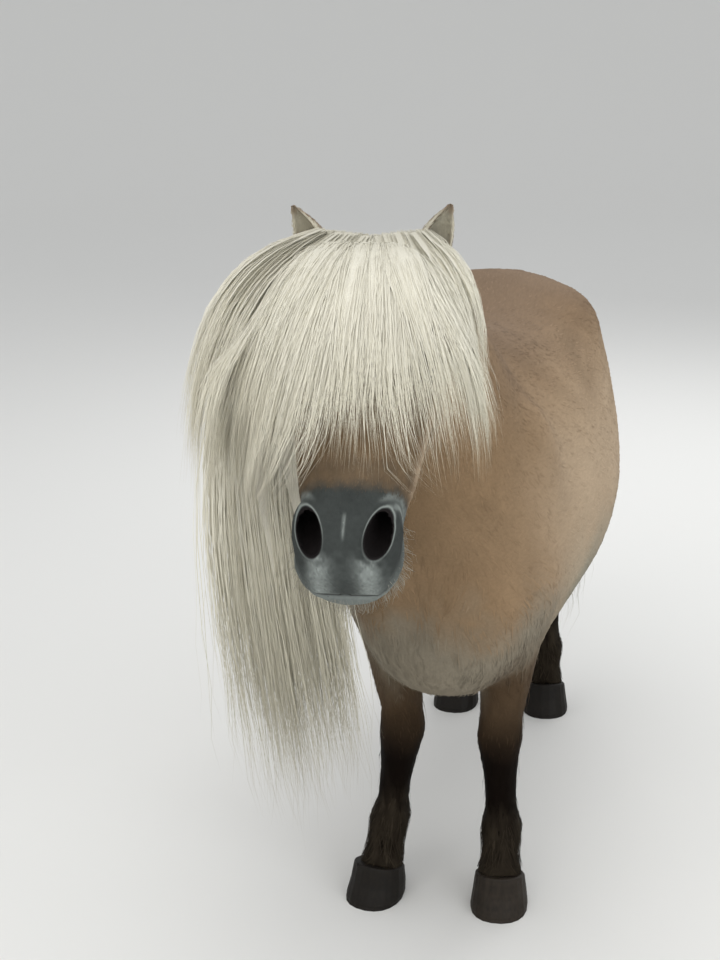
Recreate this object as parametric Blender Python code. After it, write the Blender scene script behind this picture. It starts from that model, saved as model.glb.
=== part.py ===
"""A Shetland pony at life size, standing square with its head raised.

Metres, +Z up. The pony faces -Y and its left side is +X. The body is one smooth form, parted
with hairline cuts into head, neck, torso and legs. Hooves, ears, eyes, forelock, mane and tail
are pieces of their own.
"""

import math
import random
from collections import namedtuple

import bmesh
import bpy
import numpy as np
from mathutils import Matrix, Vector
from mathutils.bvhtree import BVHTree

# Driving dimensions
WITHERS = 0.88  # height at the withers
HEAD = 0.375  # length of the head, poll to lips
GAP = 0.0003  # hairline between touching parts

# Where the head sits and how it is turned
POLL = Vector((-0.032, -0.620, 0.985))
HEAD_TILT = math.radians(46)  # from hanging straight down
HEAD_TURN = math.radians(3.2)  # towards the pony's left

# How finely the body is made
GRAIN = 0.005  # the voxel that fuses the masses
BODY_SHARE = 0.0158  # of the fused mesh's triangles that torso, neck and legs keep
HEAD_SHARE = 0.050
SIDES = (("left", 1), ("right", -1))

# Colours
CHESTNUT = (0.42, 0.24, 0.13, 1)
FLAXEN = (0.80, 0.74, 0.60, 1)
HORN_GREY = (0.10, 0.09, 0.085, 1)
EYE_BROWN = (0.02, 0.012, 0.008, 1)

DOWN = Vector((0, 0, -1))
PERCENT_OF_WITHERS = WITHERS / 100
PERCENT_OF_HEAD = HEAD / 100

# Cross-sections of the trunk, front to back, in hundredths of the height at the withers:
# where along the body, top, bottom, half width, height of the widest level, roundness above and below
TrunkSection = namedtuple("TrunkSection", "y top bottom half_width level above below")
TRUNK = (
    TrunkSection(-49.0, 73, 57, 6.0, 65.0, 2.0, 2.0),
    TrunkSection(-46.5, 83, 46.5, 12.0, 66.0, 2.0, 2.1),
    TrunkSection(-41.0, 91, 40.8, 15.5, 66.5, 1.9, 2.3),
    TrunkSection(-33.0, 98, 39.4, 18.0, 66.0, 1.6, 2.4),
    TrunkSection(-24.0, 99.6, 39.6, 21.0, 66.5, 1.6, 2.3),
    TrunkSection(-12.0, 96.6, 40.2, 24.2, 67.0, 1.85, 2.2),
    TrunkSection(0.0, 94.8, 40.4, 25.8, 66.5, 2.0, 2.2),
    TrunkSection(11.0, 95.6, 42.4, 25.6, 67.5, 2.1, 2.2),
    TrunkSection(21.0, 97.6, 45.5, 24.2, 70.5, 2.2, 2.2),
    TrunkSection(30.0, 98.4, 51.0, 22.6, 75.0, 2.3, 2.1),
    TrunkSection(39.0, 96.4, 59.0, 20.0, 78.5, 2.3, 2.0),
    TrunkSection(47.0, 90.5, 66.0, 15.5, 79.5, 2.2, 2.0),
    TrunkSection(52.0, 83.5, 71.0, 9.0, 78.0, 2.0, 2.0),
)

# The neck, from inside the shoulders to the poll: the crest's place, the throat's place, half width
NeckSection = namedtuple("NeckSection", "crest_y crest_z throat_y throat_z half_width offset")
NECK = (
    NeckSection(-20.0, 97.5, -42.0, 56.0, 14.5, 0.0),
    NeckSection(-31.0, 102.0, -47.5, 63.5, 13.8, -0.2),
    NeckSection(-42.0, 107.5, -51.5, 73.0, 12.4, -1.0),
    NeckSection(-52.0, 112.0, -56.0, 83.0, 10.8, -2.0),
    NeckSection(-61.5, 115.0, -61.5, 92.5, 9.2, -2.9),
    NeckSection(-69.0, 115.0, -68.5, 98.5, 7.8, -3.6),
)

# Cross-sections of a leg, top to bottom, in the same hundredths: height, centre, half width, half depth
LegSection = namedtuple("LegSection", "z x y half_width half_depth")
FORELEG = (
    LegSection(63.0, 12.8, -33.5, 6.0, 9.5),
    LegSection(54.0, 11.6, -31.0, 6.0, 8.8),
    LegSection(46.5, 10.0, -30.4, 5.1, 6.8),
    LegSection(38.5, 8.9, -30.9, 4.3, 5.0),
    LegSection(33.8, 8.4, -31.2, 3.8, 4.2),
    LegSection(30.0, 8.1, -31.5, 4.2, 4.5),
    LegSection(26.2, 8.1, -31.1, 3.5, 3.9),
    LegSection(20.5, 8.1, -30.8, 2.9, 3.4),
    LegSection(16.2, 8.1, -30.6, 3.0, 3.6),
    LegSection(12.8, 8.1, -30.8, 3.8, 4.5),
    LegSection(9.0, 8.1, -32.2, 3.3, 3.7),
    LegSection(5.6, 8.1, -33.7, 4.0, 4.5),
    LegSection(3.0, 8.1, -34.6, 4.3, 4.9),
)
HIND_LEG = (
    LegSection(76.0, 11.5, 33.5, 8.6, 13.0),
    LegSection(67.0, 12.6, 33.0, 9.4, 14.6),
    LegSection(58.5, 13.0, 31.0, 8.4, 13.0),
    LegSection(51.5, 12.4, 33.8, 6.4, 9.8),
    LegSection(45.5, 11.4, 38.8, 4.9, 7.2),
    LegSection(40.5, 10.4, 44.2, 4.0, 5.4),
    LegSection(36.5, 9.9, 47.6, 3.8, 5.2),
    LegSection(32.5, 9.6, 48.7, 3.5, 4.6),
    LegSection(27.5, 9.4, 48.4, 3.0, 3.8),
    LegSection(21.0, 9.2, 47.6, 2.9, 3.5),
    LegSection(16.2, 9.2, 47.0, 3.0, 3.7),
    LegSection(12.8, 9.2, 46.6, 3.8, 4.5),
    LegSection(9.0, 9.2, 45.1, 3.3, 3.7),
    LegSection(5.6, 9.2, 43.6, 4.0, 4.5),
    LegSection(3.0, 9.2, 42.8, 4.3, 4.9),
)
FORE_X, FORE_Y = FORELEG[-2].x, FORELEG[-2].y
HIND_X, HIND_Y = HIND_LEG[-2].x, HIND_LEG[-2].y

# How each leg stands: how far the foot is set outwards from below the knee, and how the toe turns out
Stance = namedtuple("Stance", "knee splay toe_out")
STANCES = {
    "front_left": Stance(31.0, 0.004, 2),
    "front_right": Stance(31.0, 0.042, 18),
    "hind_left": Stance(37.0, 0.004, 6),
    "hind_right": Stance(37.0, 0.004, 6),
}

# Muscles and bony points, left side, in the same hundredths: centre, radii, lean of the top backwards
Mass = namedtuple("Mass", "x y z across along high lean")
MASSES = {
    "shoulder_blade": Mass(10.8, -29.5, 73.0, 7.4, 10.0, 18.0, -26),
    "upper_arm": Mass(11.6, -35.5, 59.5, 6.2, 10.0, 8.5, 20),
    "breast": Mass(6.4, -44.6, 60.5, 7.4, 5.6, 8.5, 0),
    "croup": Mass(10.0, 28.0, 85.0, 11.2, 17.0, 11.5, 8),
    "thigh": Mass(12.0, 38.0, 70.0, 9.4, 12.0, 17.0, 10),
    "buttock": Mass(8.4, 46.5, 72.5, 7.6, 7.0, 13.5, 6),
    "stifle": Mass(15.4, 24.5, 57.5, 5.2, 6.4, 9.5, 25),
    "hock_point": Mass(10.0, 50.4, 39.0, 2.3, 2.8, 5.5, -20),
}

# The head hangs from the poll in hundredths of its own length, before it is tilted: distance below
# the poll, half width, reach to the face, reach to the jaw, roundness of face and of jaw
HeadSection = namedtuple("HeadSection", "down half_width face jaw round_face round_jaw")
HEAD_SHAPE = (
    HeadSection(-8, 8.0, 6.5, 10.0, 2.0, 2.0),
    HeadSection(-2, 13.5, 11.5, 17.0, 2.2, 2.0),
    HeadSection(7, 16.8, 15.6, 22.0, 2.3, 1.9),
    HeadSection(17, 18.6, 17.8, 26.0, 2.4, 1.8),
    HeadSection(27, 19.4, 18.6, 28.0, 2.5, 1.7),
    HeadSection(36, 20.2, 18.4, 27.2, 2.5, 2.0),
    HeadSection(46, 19.8, 17.2, 23.5, 2.3, 2.1),
    HeadSection(56, 18.4, 15.6, 20.0, 2.1, 2.2),
    HeadSection(66, 16.8, 14.2, 16.4, 2.1, 2.3),
    HeadSection(75, 14.8, 13.4, 13.4, 2.3, 2.3),
    HeadSection(83, 14.4, 13.2, 12.6, 2.7, 2.3),
    HeadSection(90, 15.0, 12.2, 13.8, 2.6, 2.4),
    HeadSection(95.5, 13.0, 9.6, 14.2, 2.4, 2.3),
    HeadSection(99.5, 9.6, 5.4, 11.8, 2.2, 2.2),
)
# Masses of the head on its left side, same hundredths: x, y towards the jaw, z up from the poll
HEAD_MASSES = {
    "cheek": Mass(11.8, 9.0, -32.0, 9.2, 13.5, 19.5, 0),
    "brow": Mass(13.6, -9.0, -29.0, 5.6, 6.0, 8.0, 0),
    "nostril_wing": Mass(10.4, -5.4, -84.5, 5.4, 6.8, 9.4, -24),
    "chin": Mass(0.0, 10.6, -92.0, 8.2, 6.0, 6.6, 0),
}
EYE_RADIUS = 4.7
EYE_PLACE = (15.6, -5.4, -31.0)
LID_THICKNESS = 1.1
EYE_OPENING = (8.0, 2.3, 3.7)  # half depth, half height, half length of the slit between the lids
SLIT_OUTWARDS = 6.5
NOSTRIL_PLACE = (9.9, -8.4, -85.8)
NOSTRIL_SIZE = (3.5, 5.6, 10.4)
NOSTRIL_LEAN = (-30, -13)  # degrees about the head's width, then about its face
# The line of the mouth: where it starts to turn round the lips, how far it goes on ahead and back
MOUTH_TURN, MOUTH_REACH, MOUTH_BACK = 86.0, 12.2, 16.0
MOUTH_HALF_WIDTH = 14.6
MOUTH_LEVEL = 3.4  # behind the face's middle line
MOUTH_GROOVE, MOUTH_DEPTH = 0.7, 1.6  # half height and half depth of the groove
MOUTH_STEPS = 22

EAR_LENGTH = 0.098
EAR_RADIUS = 0.0235
EAR_WALL = 0.0032
EAR_FOOT = (0.049, -0.006, 0.004)  # from the poll, before the head is tilted
EAR_SPLAY = math.radians(21)
EAR_FORWARD = math.radians(4)
EAR_TURN = math.radians(24)  # how far the cups look out to the sides
EAR_BEND = 0.012
# Up the ear: share of its length, share of its full radius, and how far round each wall goes in degrees
EAR_STATIONS = (
    (0.0, 0.62, 165),
    (0.16, 0.86, 158),
    (0.36, 1.0, 140),
    (0.56, 0.90, 118),
    (0.74, 0.66, 100),
    (0.88, 0.38, 88),
    (1.0, 0.09, 80),
)
EAR_POINTS = 8

# Hair: the named sizes of lock; droop says how fast a lock bends down, per metre of its length
Size = namedtuple("Size", "length width thick droop stations")
FORELOCK_UNDER = Size(0.255, 0.078, 0.020, 12.5, 5)
FORELOCK_TOP = Size(0.300, 0.064, 0.018, 10.5, 6)
MANE_CORE = Size(0.340, 0.170, 0.036, 13.0, 3)
MANE_UNDER = Size(0.700, 0.120, 0.030, 12.0, 4)
MANE_FRONT = Size(0.780, 0.062, 0.026, 10.0, 5)
MANE_TOP = Size(0.800, 0.092, 0.026, 9.0, 5)
TAIL_CORE = Size(0.360, 0.075, 0.050, 12.0, 3)
TAIL_UNDER = Size(0.640, 0.056, 0.028, 12.0, 5)
TAIL_TOP = Size(0.790, 0.064, 0.024, 11.0, 5)
FETLOCK_TUFT = Size(0.084, 0.036, 0.011, 24.0, 3)

# Each row of locks: how many, how high they lie over the skin, and how steeply they rise at the root
Row = namedtuple("Row", "size count lift rise")
FORELOCK_ROWS = (
    Row(FORELOCK_UNDER, 8, 0.014, 0.25),
    Row(FORELOCK_TOP, 13, 0.036, 0.50),
)
FORELOCK_ROOT = (0.050, -0.040, 0.014)  # half width, reach to the face, height over the poll
FORELOCK_BACK = 0.012  # how much further back the upper row starts
FORELOCK_FAN = math.radians(86)
FORELOCK_SWEEP = (0.10, 0.75)  # how much later the locks bend down on the pony's right, and sooner on its left
FORELOCK_DOME = (0.088, 0.046, 0.070)  # the radii of its core, across, outwards and along the face
MANE_ROWS = (
    Row(MANE_CORE, 2, 0.012, 0.40),
    Row(MANE_UNDER, 4, 0.018, 0.45),
    Row(MANE_TOP, 8, 0.056, 0.75),
)
MANE_FROM, MANE_TO = 0.06, 0.92
CREST_DEPTH = 1.6  # how far the roots are sunk, in hundredths of the height
CREST_SIDE = 0.9  # how far left of the crest they are
MANE_SHORTER_BEHIND = 0.32
MANE_GATHER = 1.2  # how much the locks by the head draw in under the throat as they fall
MANE_FRONT_DROOPS = (17.0, 12.5, 9.6, 8.0, 7.0)  # the locks that face forwards, from the throat outwards
MANE_FRONT_INNER = 0.80  # length of the innermost of them, as a share of the outermost
TAIL_ROWS = (  # here the last number is how wide the row fans
    Row(TAIL_CORE, 2, 0.012, 0.6),
    Row(TAIL_UNDER, 4, 0.016, 1.1),
    Row(TAIL_TOP, 7, 0.026, 1.45),
)
TAIL_ROOT = Vector((0, 0.400, 0.800))
TAIL_DEPTH = 0.9
FETLOCK_LEVEL = 12.8
FETLOCK_ROOT = (0.0, 1.6, 15.6)  # from the middle of the fetlock, in hundredths of the height
FETLOCK_TURNS = (-44, 0, 44)
HAIR_TRIES = 8
HAIR_FLOOR = 0.070  # no lock hangs lower
EAR_ROOM = 0.024
FENCE_ROOM = 0.012
# The plane through the ears that parts forelock from mane; the sign says which side each gives up
PARTING_POINT = Vector((0, -0.622, 0.950))
PARTING_NORMAL = Vector((0, -0.965, 0.263)).normalized()
PARTING = {"forelock": -1, "mane": 1}

HOOF_SOLE_LENGTH = 0.098
HOOF_SOLE_WIDTH = 0.088
HOOF_TOP_LENGTH = 0.080
HOOF_TOP_WIDTH = 0.074
CORONET_TOE = 0.060
CORONET_HEEL = 0.036

# The rooms that the legs take from the trunk, left side, in hundredths of the height: how far from the
# middle, front to back, and how high at the inner and the outer edge
Room = namedtuple("Room", "x_in x_out y_front y_back top_in top_out")
FORE_ROOM = Room(4.4, 30, -43.0, -19.0, 44.0, 62.0)
HIND_ROOM = Room(1.5, 30, 17.0, 70.0, 57.0, 68.0)
# Where a leg is parted at its knee or hock: the height, and how the cut slopes
KNEE_CUT = {"front": (27.6, 0.0), "hind": (35.0, 0.35)}
# The cut between torso and neck, and the one between neck and head: a point and the way forward
NECK_CUT = (Vector((0, -0.400, 0.740)), Vector((0, -0.80, 0.42)).normalized())
HEAD_CUT = (Vector((0, -0.602, 0.930)), Vector((0, -0.975, 0.22)).normalized())


def clear_scene():
    for obj in list(bpy.data.objects):
        bpy.data.objects.remove(obj, do_unlink=True)


def material(name, colour, roughness):
    made = bpy.data.materials.new(name)
    made.use_nodes = True
    shader = made.node_tree.nodes["Principled BSDF"]
    shader.inputs["Base Color"].default_value = colour
    shader.inputs["Roughness"].default_value = roughness
    made.diffuse_color = colour
    return made


def add_object(name, bm):
    """A named object from a bmesh, in triangles that face outwards."""
    bmesh.ops.triangulate(bm, faces=bm.faces, ngon_method="EAR_CLIP")
    bmesh.ops.recalc_face_normals(bm, faces=bm.faces)
    mesh = bpy.data.meshes.new(name)
    bm.to_mesh(mesh)
    bm.free()
    obj = bpy.data.objects.new(name, mesh)
    bpy.context.scene.collection.objects.link(obj)
    return obj


def superellipse(count, half_width, above, below, round_above, round_below):
    """Points round an outline that has its own height and roundness above and below the middle."""
    points = []
    for i in range(count):
        angle = 2 * math.pi * (i + 0.5) / count
        c, s = math.cos(angle), math.sin(angle)
        power = 2 / (round_above if s > 0 else round_below)
        reach = above if s > 0 else below
        points.append(
            (
                half_width * math.copysign(abs(c) ** power, c),
                reach * math.copysign(abs(s) ** power, s),
            )
        )
    return points


def between(rows, per_step):
    """Rows of numbers with smooth ones put between them, along a Catmull-Rom curve."""
    table = np.array([tuple(row) for row in rows], float)
    padded = np.vstack([2 * table[0] - table[1], table, 2 * table[-1] - table[-2]])
    made = []
    for i in range(len(table) - 1):
        a, b, c, d = padded[i : i + 4]
        for k in range(per_step):
            t = k / per_step
            bend = (2 * a - 5 * b + 4 * c - d) * t * t + (3 * b - a - 3 * c + d) * t**3
            made.append(0.5 * (2 * b + (c - a) * t + bend))
    made.append(table[-1])
    kind = type(rows[0])
    return [kind(*row) for row in made]


def loft(name, rings):
    """A closed skin over rings of points, each end closed by a fan to its middle."""
    bm = bmesh.new()
    loops = [[bm.verts.new(p) for p in ring] for ring in rings]
    count = len(rings[0])
    for lower, upper in zip(loops, loops[1:]):
        for i in range(count):
            j = (i + 1) % count
            bm.faces.new((lower[i], lower[j], upper[j], upper[i]))
    for ring in (loops[0], loops[-1]):
        middle = bm.verts.new(sum((v.co for v in ring), Vector()) / count)
        for i in range(count):
            bm.faces.new((ring[i], ring[(i + 1) % count], middle))
    return add_object(name, bm)


def ellipsoid(name, radii, place, subdivisions=3):
    bm = bmesh.new()
    matrix = place @ Matrix.Diagonal((*radii, 1))
    bmesh.ops.create_icosphere(bm, subdivisions=subdivisions, radius=1.0, matrix=matrix)
    return add_object(name, bm)


def mass(name, m, unit, side):
    """One muscle or bony point, mirrored by side, leaning about the X axis."""
    place = Matrix.Translation(Vector((m.x * side, m.y, m.z)) * unit) @ Matrix.Rotation(
        math.radians(-m.lean), 4, "X"
    )
    return ellipsoid(name, (m.across * unit, m.along * unit, m.high * unit), place)


def trunk():
    rings = []
    for s in between(TRUNK, 3):
        outline = superellipse(32, s.half_width, s.top - s.level, s.level - s.bottom, s.above, s.below)
        rings.append([Vector((x, s.y, s.level + z)) * PERCENT_OF_WITHERS for x, z in outline])
    return loft("trunk", rings)


def neck_form():
    rings = []
    for s in between(NECK, 3):
        crest, throat = Vector((0, s.crest_y, s.crest_z)), Vector((0, s.throat_y, s.throat_z))
        middle = crest.lerp(throat, 0.56)
        middle.x = s.offset
        up = crest - throat
        outline = superellipse(28, s.half_width, 0.56, 0.44, 1.75, 2.1)
        rings.append([(middle + Vector((x, 0, 0)) + up * z) * PERCENT_OF_WITHERS for x, z in outline])
    return loft("neck_form", rings)


def foot_shift(stance, side, height):
    """How far outwards the leg stands at a height, in metres along X."""
    knee = stance.knee * PERCENT_OF_WITHERS
    return side * stance.splay * max(1 - height / knee, 0)


def leg_form(place, side):
    """A leg as a loft over its sections; place names the leg, such as front_left."""
    stance = STANCES[place]
    rings = []
    for s in between(FORELEG if place.startswith("front") else HIND_LEG, 3):
        outline = superellipse(20, s.half_width, s.half_depth, s.half_depth, 2.1, 2.1)
        shift = Vector((foot_shift(stance, side, s.z * PERCENT_OF_WITHERS), 0, 0))
        rings.append(
            [Vector((s.x * side + x, s.y + y, s.z)) * PERCENT_OF_WITHERS + shift for x, y in outline]
        )
    return loft(place, rings)


def head_matrix():
    """From the hanging head's own axes to its place on the neck."""
    return (
        Matrix.Translation(POLL)
        @ Matrix.Rotation(HEAD_TURN, 4, "Z")
        @ Matrix.Rotation(-HEAD_TILT, 4, "X")
    )


def head_form():
    rings = []
    for s in between(HEAD_SHAPE, 3):
        outline = superellipse(32, s.half_width, s.jaw, s.face, s.round_jaw, s.round_face)
        rings.append([Vector((x, y, -s.down)) * PERCENT_OF_HEAD for x, y in outline])
    form = loft("head_form", rings)
    form.data.transform(head_matrix())
    return form


def head_mass(name, m, side):
    made = mass(name, m, PERCENT_OF_HEAD, side)
    made.data.transform(head_matrix())
    return made


def eye_centre(side):
    x, y, z = EYE_PLACE
    return head_matrix() @ (Vector((x * side, y, z)) * PERCENT_OF_HEAD)


def lid_mass(side):
    radius = (EYE_RADIUS + LID_THICKNESS) * PERCENT_OF_HEAD
    return ellipsoid("lids", (radius,) * 3, Matrix.Translation(eye_centre(side)))


def join(name, pieces):
    bm = bmesh.new()
    for piece in pieces:
        bm.from_mesh(piece.data)
        bpy.data.objects.remove(piece, do_unlink=True)
    mesh = bpy.data.meshes.new(name)
    bm.to_mesh(mesh)
    bm.free()
    obj = bpy.data.objects.new(name, mesh)
    bpy.context.scene.collection.objects.link(obj)
    return obj


def apply_modifiers(obj):
    """The object's mesh becomes what its modifiers make of it."""
    graph = bpy.context.evaluated_depsgraph_get()
    made = bpy.data.meshes.new_from_object(obj.evaluated_get(graph), depsgraph=graph)
    obj.modifiers.clear()
    obj.data = made
    return obj


def smooth_weights(obj, weight_of):
    """A vertex group that says how far each point may be smoothed."""
    group = obj.vertex_groups.new(name="smooth")
    for v in obj.data.vertices:
        group.add((v.index,), weight_of(v.co), "REPLACE")
    return group.name


def flesh_softness(point):
    """Muscles of the trunk melt together; the head and the lower legs stay crisp."""
    above_legs = min(max((point.z / WITHERS - 0.38) / 0.12, 0.12), 1.0)
    if point.y < POLL.y - 0.02:
        return 0.12
    behind_head = min(max((point.y - POLL.y) / 0.10 + 0.2, 0.12), 1.0)
    return min(above_legs, behind_head)


def flesh():
    """The whole body as one fused and smoothed surface."""
    pieces = [trunk(), neck_form(), head_form()]
    for label, side in SIDES:
        pieces += [leg_form(f"front_{label}", side), leg_form(f"hind_{label}", side)]
        pieces += [mass(name, m, PERCENT_OF_WITHERS, side) for name, m in MASSES.items()]
        pieces += [head_mass(name, m, side) for name, m in HEAD_MASSES.items()]
        pieces.append(lid_mass(side))
    body = join("flesh", pieces)
    remesh = body.modifiers.new("fuse", "REMESH")
    remesh.mode = "VOXEL"
    remesh.voxel_size = GRAIN
    apply_modifiers(body)
    group = smooth_weights(body, flesh_softness)
    settle = body.modifiers.new("settle", "SMOOTH")
    settle.factor = 0.5
    settle.iterations = 90
    settle.vertex_group = group
    even = body.modifiers.new("even", "SMOOTH")
    even.factor = 0.5
    even.iterations = 2
    apply_modifiers(body)
    return body


def copy_of(obj, name):
    made = bpy.data.objects.new(name, obj.data.copy())
    bpy.context.scene.collection.objects.link(made)
    return made


def thinned(obj, share, name):
    made = copy_of(obj, name)
    decimate = made.modifiers.new("thin", "DECIMATE")
    decimate.ratio = share
    return apply_modifiers(made)


def boolean(obj, other, operation, group=None):
    """Cuts with or joins to another piece, or a collection of them; the result is closed triangles."""
    cut = obj.modifiers.new(operation, "BOOLEAN")
    cut.operation = operation
    if group:
        cut.operand_type = "COLLECTION"
        cut.collection = group
    else:
        cut.object = other
    for solver in ("MANIFOLD", "EXACT"):
        cut.solver = solver
        graph = bpy.context.evaluated_depsgraph_get()
        made = bpy.data.meshes.new_from_object(obj.evaluated_get(graph), depsgraph=graph)
        bm = bmesh.new()
        bm.from_mesh(made)
        bmesh.ops.triangulate(bm, faces=bm.faces, ngon_method="EAR_CLIP")
        closed = len(bm.faces) > 0 and all(edge.is_manifold for edge in bm.edges)
        bm.to_mesh(made)
        bm.free()
        if closed:
            break
    obj.modifiers.clear()
    obj.data = made
    return obj


def surfaces(bm):
    """The separate closed surfaces of a mesh, as lists of faces, the largest first."""
    left, bodies = set(bm.faces), []
    while left:
        found, front = [], [left.pop()]
        while front:
            face = front.pop()
            found.append(face)
            for edge in face.edges:
                for other in edge.link_faces:
                    if other in left:
                        left.discard(other)
                        front.append(other)
        bodies.append(found)
    return sorted(bodies, key=lambda body: sum(face.calc_area() for face in body), reverse=True)


def is_sound(bm):
    """Whether the mesh is closed and doesn't touch itself along an edge."""
    if not bm.faces or not all(edge.is_manifold for edge in bm.edges):
        return False
    sewn = bm.copy()
    bmesh.ops.remove_doubles(sewn, verts=sewn.verts, dist=2e-7)
    sound = all(edge.is_manifold for edge in sewn.edges)
    sewn.free()
    return sound


def largest_body(obj):
    """Only the largest closed surface stays, without loose scraps, and without slivers where it can be."""
    for shortest in (3e-5, 1e-5, 3e-6, 1e-4, 2e-4, 0):
        bm = bmesh.new()
        bm.from_mesh(obj.data)
        if shortest:
            bmesh.ops.remove_doubles(bm, verts=bm.verts, dist=shortest)
            bmesh.ops.dissolve_degenerate(bm, edges=bm.edges, dist=shortest)
        bmesh.ops.triangulate(bm, faces=bm.faces, ngon_method="EAR_CLIP")
        scraps = [face for body in surfaces(bm)[1:] for face in body]
        bmesh.ops.delete(bm, geom=scraps, context="FACES")
        sound = is_sound(bm)
        if sound or not shortest:
            bm.to_mesh(obj.data)
        bm.free()
        if sound:
            return obj
    return obj


def half(obj, point, normal):
    """Cuts the object by a plane, closes the cut, and drops what lies on the normal's side."""
    bm = bmesh.new()
    bm.from_mesh(obj.data)
    everything = bm.verts[:] + bm.edges[:] + bm.faces[:]
    bmesh.ops.bisect_plane(
        bm, geom=everything, dist=1e-7, plane_co=point, plane_no=normal, clear_outer=True
    )
    rim = [e for e in bm.edges if e.is_boundary]
    filled = bmesh.ops.holes_fill(bm, edges=rim)
    bmesh.ops.triangulate(bm, faces=filled["faces"])
    bm.to_mesh(obj.data)
    bm.free()
    return obj


def block(name, room, side, grow):
    """The room that a leg takes: an upright box under a sloping top, made larger by grow."""
    unit = PERCENT_OF_WITHERS
    y_front, y_back = room.y_front * unit - grow, room.y_back * unit + grow
    edges = (
        (room.x_in * unit - grow, room.top_in * unit + grow),
        (room.x_out * unit, room.top_out * unit + grow),
    )
    bm = bmesh.new()
    corners = [
        bm.verts.new((x * side, y, z))
        for x, top in edges
        for y in (y_front, y_back)
        for z in (-0.1, top)
    ]
    bmesh.ops.convex_hull(bm, input=corners)
    return add_object(name, bm)


def foot_x(place, side):
    """Where the middle of a foot stands across the body."""
    x = FORE_X if place.startswith("front") else HIND_X
    return x * side * PERCENT_OF_WITHERS + foot_shift(STANCES[place], side, 0.03)


def toe_out(place, side):
    return math.radians(STANCES[place].toe_out) * side


def coronet_plane(y):
    """A point on the sloping top of a hoof, and the plane's upward normal."""
    front = Vector((0, y - HOOF_TOP_LENGTH / 2, CORONET_TOE))
    back = Vector((0, y + HOOF_TOP_LENGTH / 2, CORONET_HEEL))
    slope = (back - front).normalized()
    return (front + back) / 2, Vector((0, -slope.z, slope.y))


def hoof(name, x, y, toe_out):
    """A slightly flared wall, cut straight at the coronet, with a flat sole."""
    middle, up = coronet_plane(y)
    top_slope = Vector((0, up.z, -up.y))
    rings = []
    toe_ahead = (HOOF_SOLE_LENGTH - HOOF_TOP_LENGTH) / 2 + 0.007
    for share in (0.0, 0.10, 0.5, 1.0):
        length = HOOF_SOLE_LENGTH + (HOOF_TOP_LENGTH - HOOF_SOLE_LENGTH) * share
        width = HOOF_SOLE_WIDTH + (HOOF_TOP_WIDTH - HOOF_SOLE_WIDTH) * share
        if share == 0.0:
            length, width = length - 0.004, width - 0.004
        flat = Vector((0, y - toe_ahead * (1 - share), 0))
        centre = flat.lerp(middle - up * GAP, share)
        centre.y = flat.y + (middle.y - flat.y) * share
        along = Vector((0, 1, 0)).lerp(top_slope, share).normalized()
        outline = superellipse(20, width / 2, length / 2, length / 2, 2.05, 2.25)
        rings.append([centre + Vector((x + u, 0, 0)) + along * v for u, v in outline])
    made = loft(name, rings)
    pivot = Matrix.Translation((x, y, 0))
    made.data.transform(pivot @ Matrix.Rotation(toe_out, 4, "Z") @ pivot.inverted())
    return made


def swollen(obj, name, by):
    """A copy that stands proud of the object all over by a small distance."""
    made = copy_of(obj, name)
    bm = bmesh.new()
    bm.from_mesh(made.data)
    bmesh.ops.remove_doubles(bm, verts=bm.verts, dist=1e-6)
    bm.normal_update()
    moves = [v.normal * by for v in bm.verts]
    for v, move in zip(bm.verts, moves):
        v.co += move
    bm.to_mesh(made.data)
    bm.free()
    return made


def hull_of(obj, name):
    """The convex skin round an object, such as round the cup of an ear."""
    bm = bmesh.new()
    corners = [bm.verts.new(v.co) for v in obj.data.vertices]
    bmesh.ops.convex_hull(bm, input=corners)
    inside = [v for v in bm.verts if not v.link_faces]
    bmesh.ops.delete(bm, geom=inside, context="VERTS")
    return add_object(name, bm)


def cut_clear(obj, neighbours):
    """Cuts the object back so that a hairline stays between it and each neighbour."""
    for neighbour in neighbours:
        proud = swollen(neighbour, "proud", GAP * 1.5)
        boolean(obj, proud, "DIFFERENCE")
        bpy.data.objects.remove(proud, do_unlink=True)
    return largest_body(obj)


def on_head(place, side):
    """The matrix of a spot on the head, given in hundredths of its length on the left side."""
    x, y, z = place
    return head_matrix() @ Matrix.Translation(Vector((x * side, y, z)) * PERCENT_OF_HEAD)


def carve_face(head):
    """Eye sockets behind the slits of the lids, nostrils, and the line of the mouth."""
    cutters = [mouth_groove()]
    for _, side in SIDES:
        x, y, z = EYE_PLACE
        opening = [radius * PERCENT_OF_HEAD for radius in EYE_OPENING]
        cutters.append(ellipsoid("slit", opening, on_head((x + SLIT_OUTWARDS, y, z), side), 2))
        room = EYE_RADIUS * PERCENT_OF_HEAD + GAP * 1.5
        cutters.append(ellipsoid("socket", (room,) * 3, Matrix.Translation(eye_centre(side)), 2))
        lean, swing = NOSTRIL_LEAN
        turned = Matrix.Rotation(math.radians(lean), 4, "X") @ Matrix.Rotation(
            math.radians(-swing * side), 4, "Y"
        )
        radii = [radius * PERCENT_OF_HEAD for radius in NOSTRIL_SIZE]
        cutters.append(ellipsoid("nostril", radii, on_head(NOSTRIL_PLACE, side) @ turned, 2))
    for cutter in cutters:
        boolean(head, cutter, "DIFFERENCE")
        bpy.data.objects.remove(cutter, do_unlink=True)
    return largest_body(head)


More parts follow.
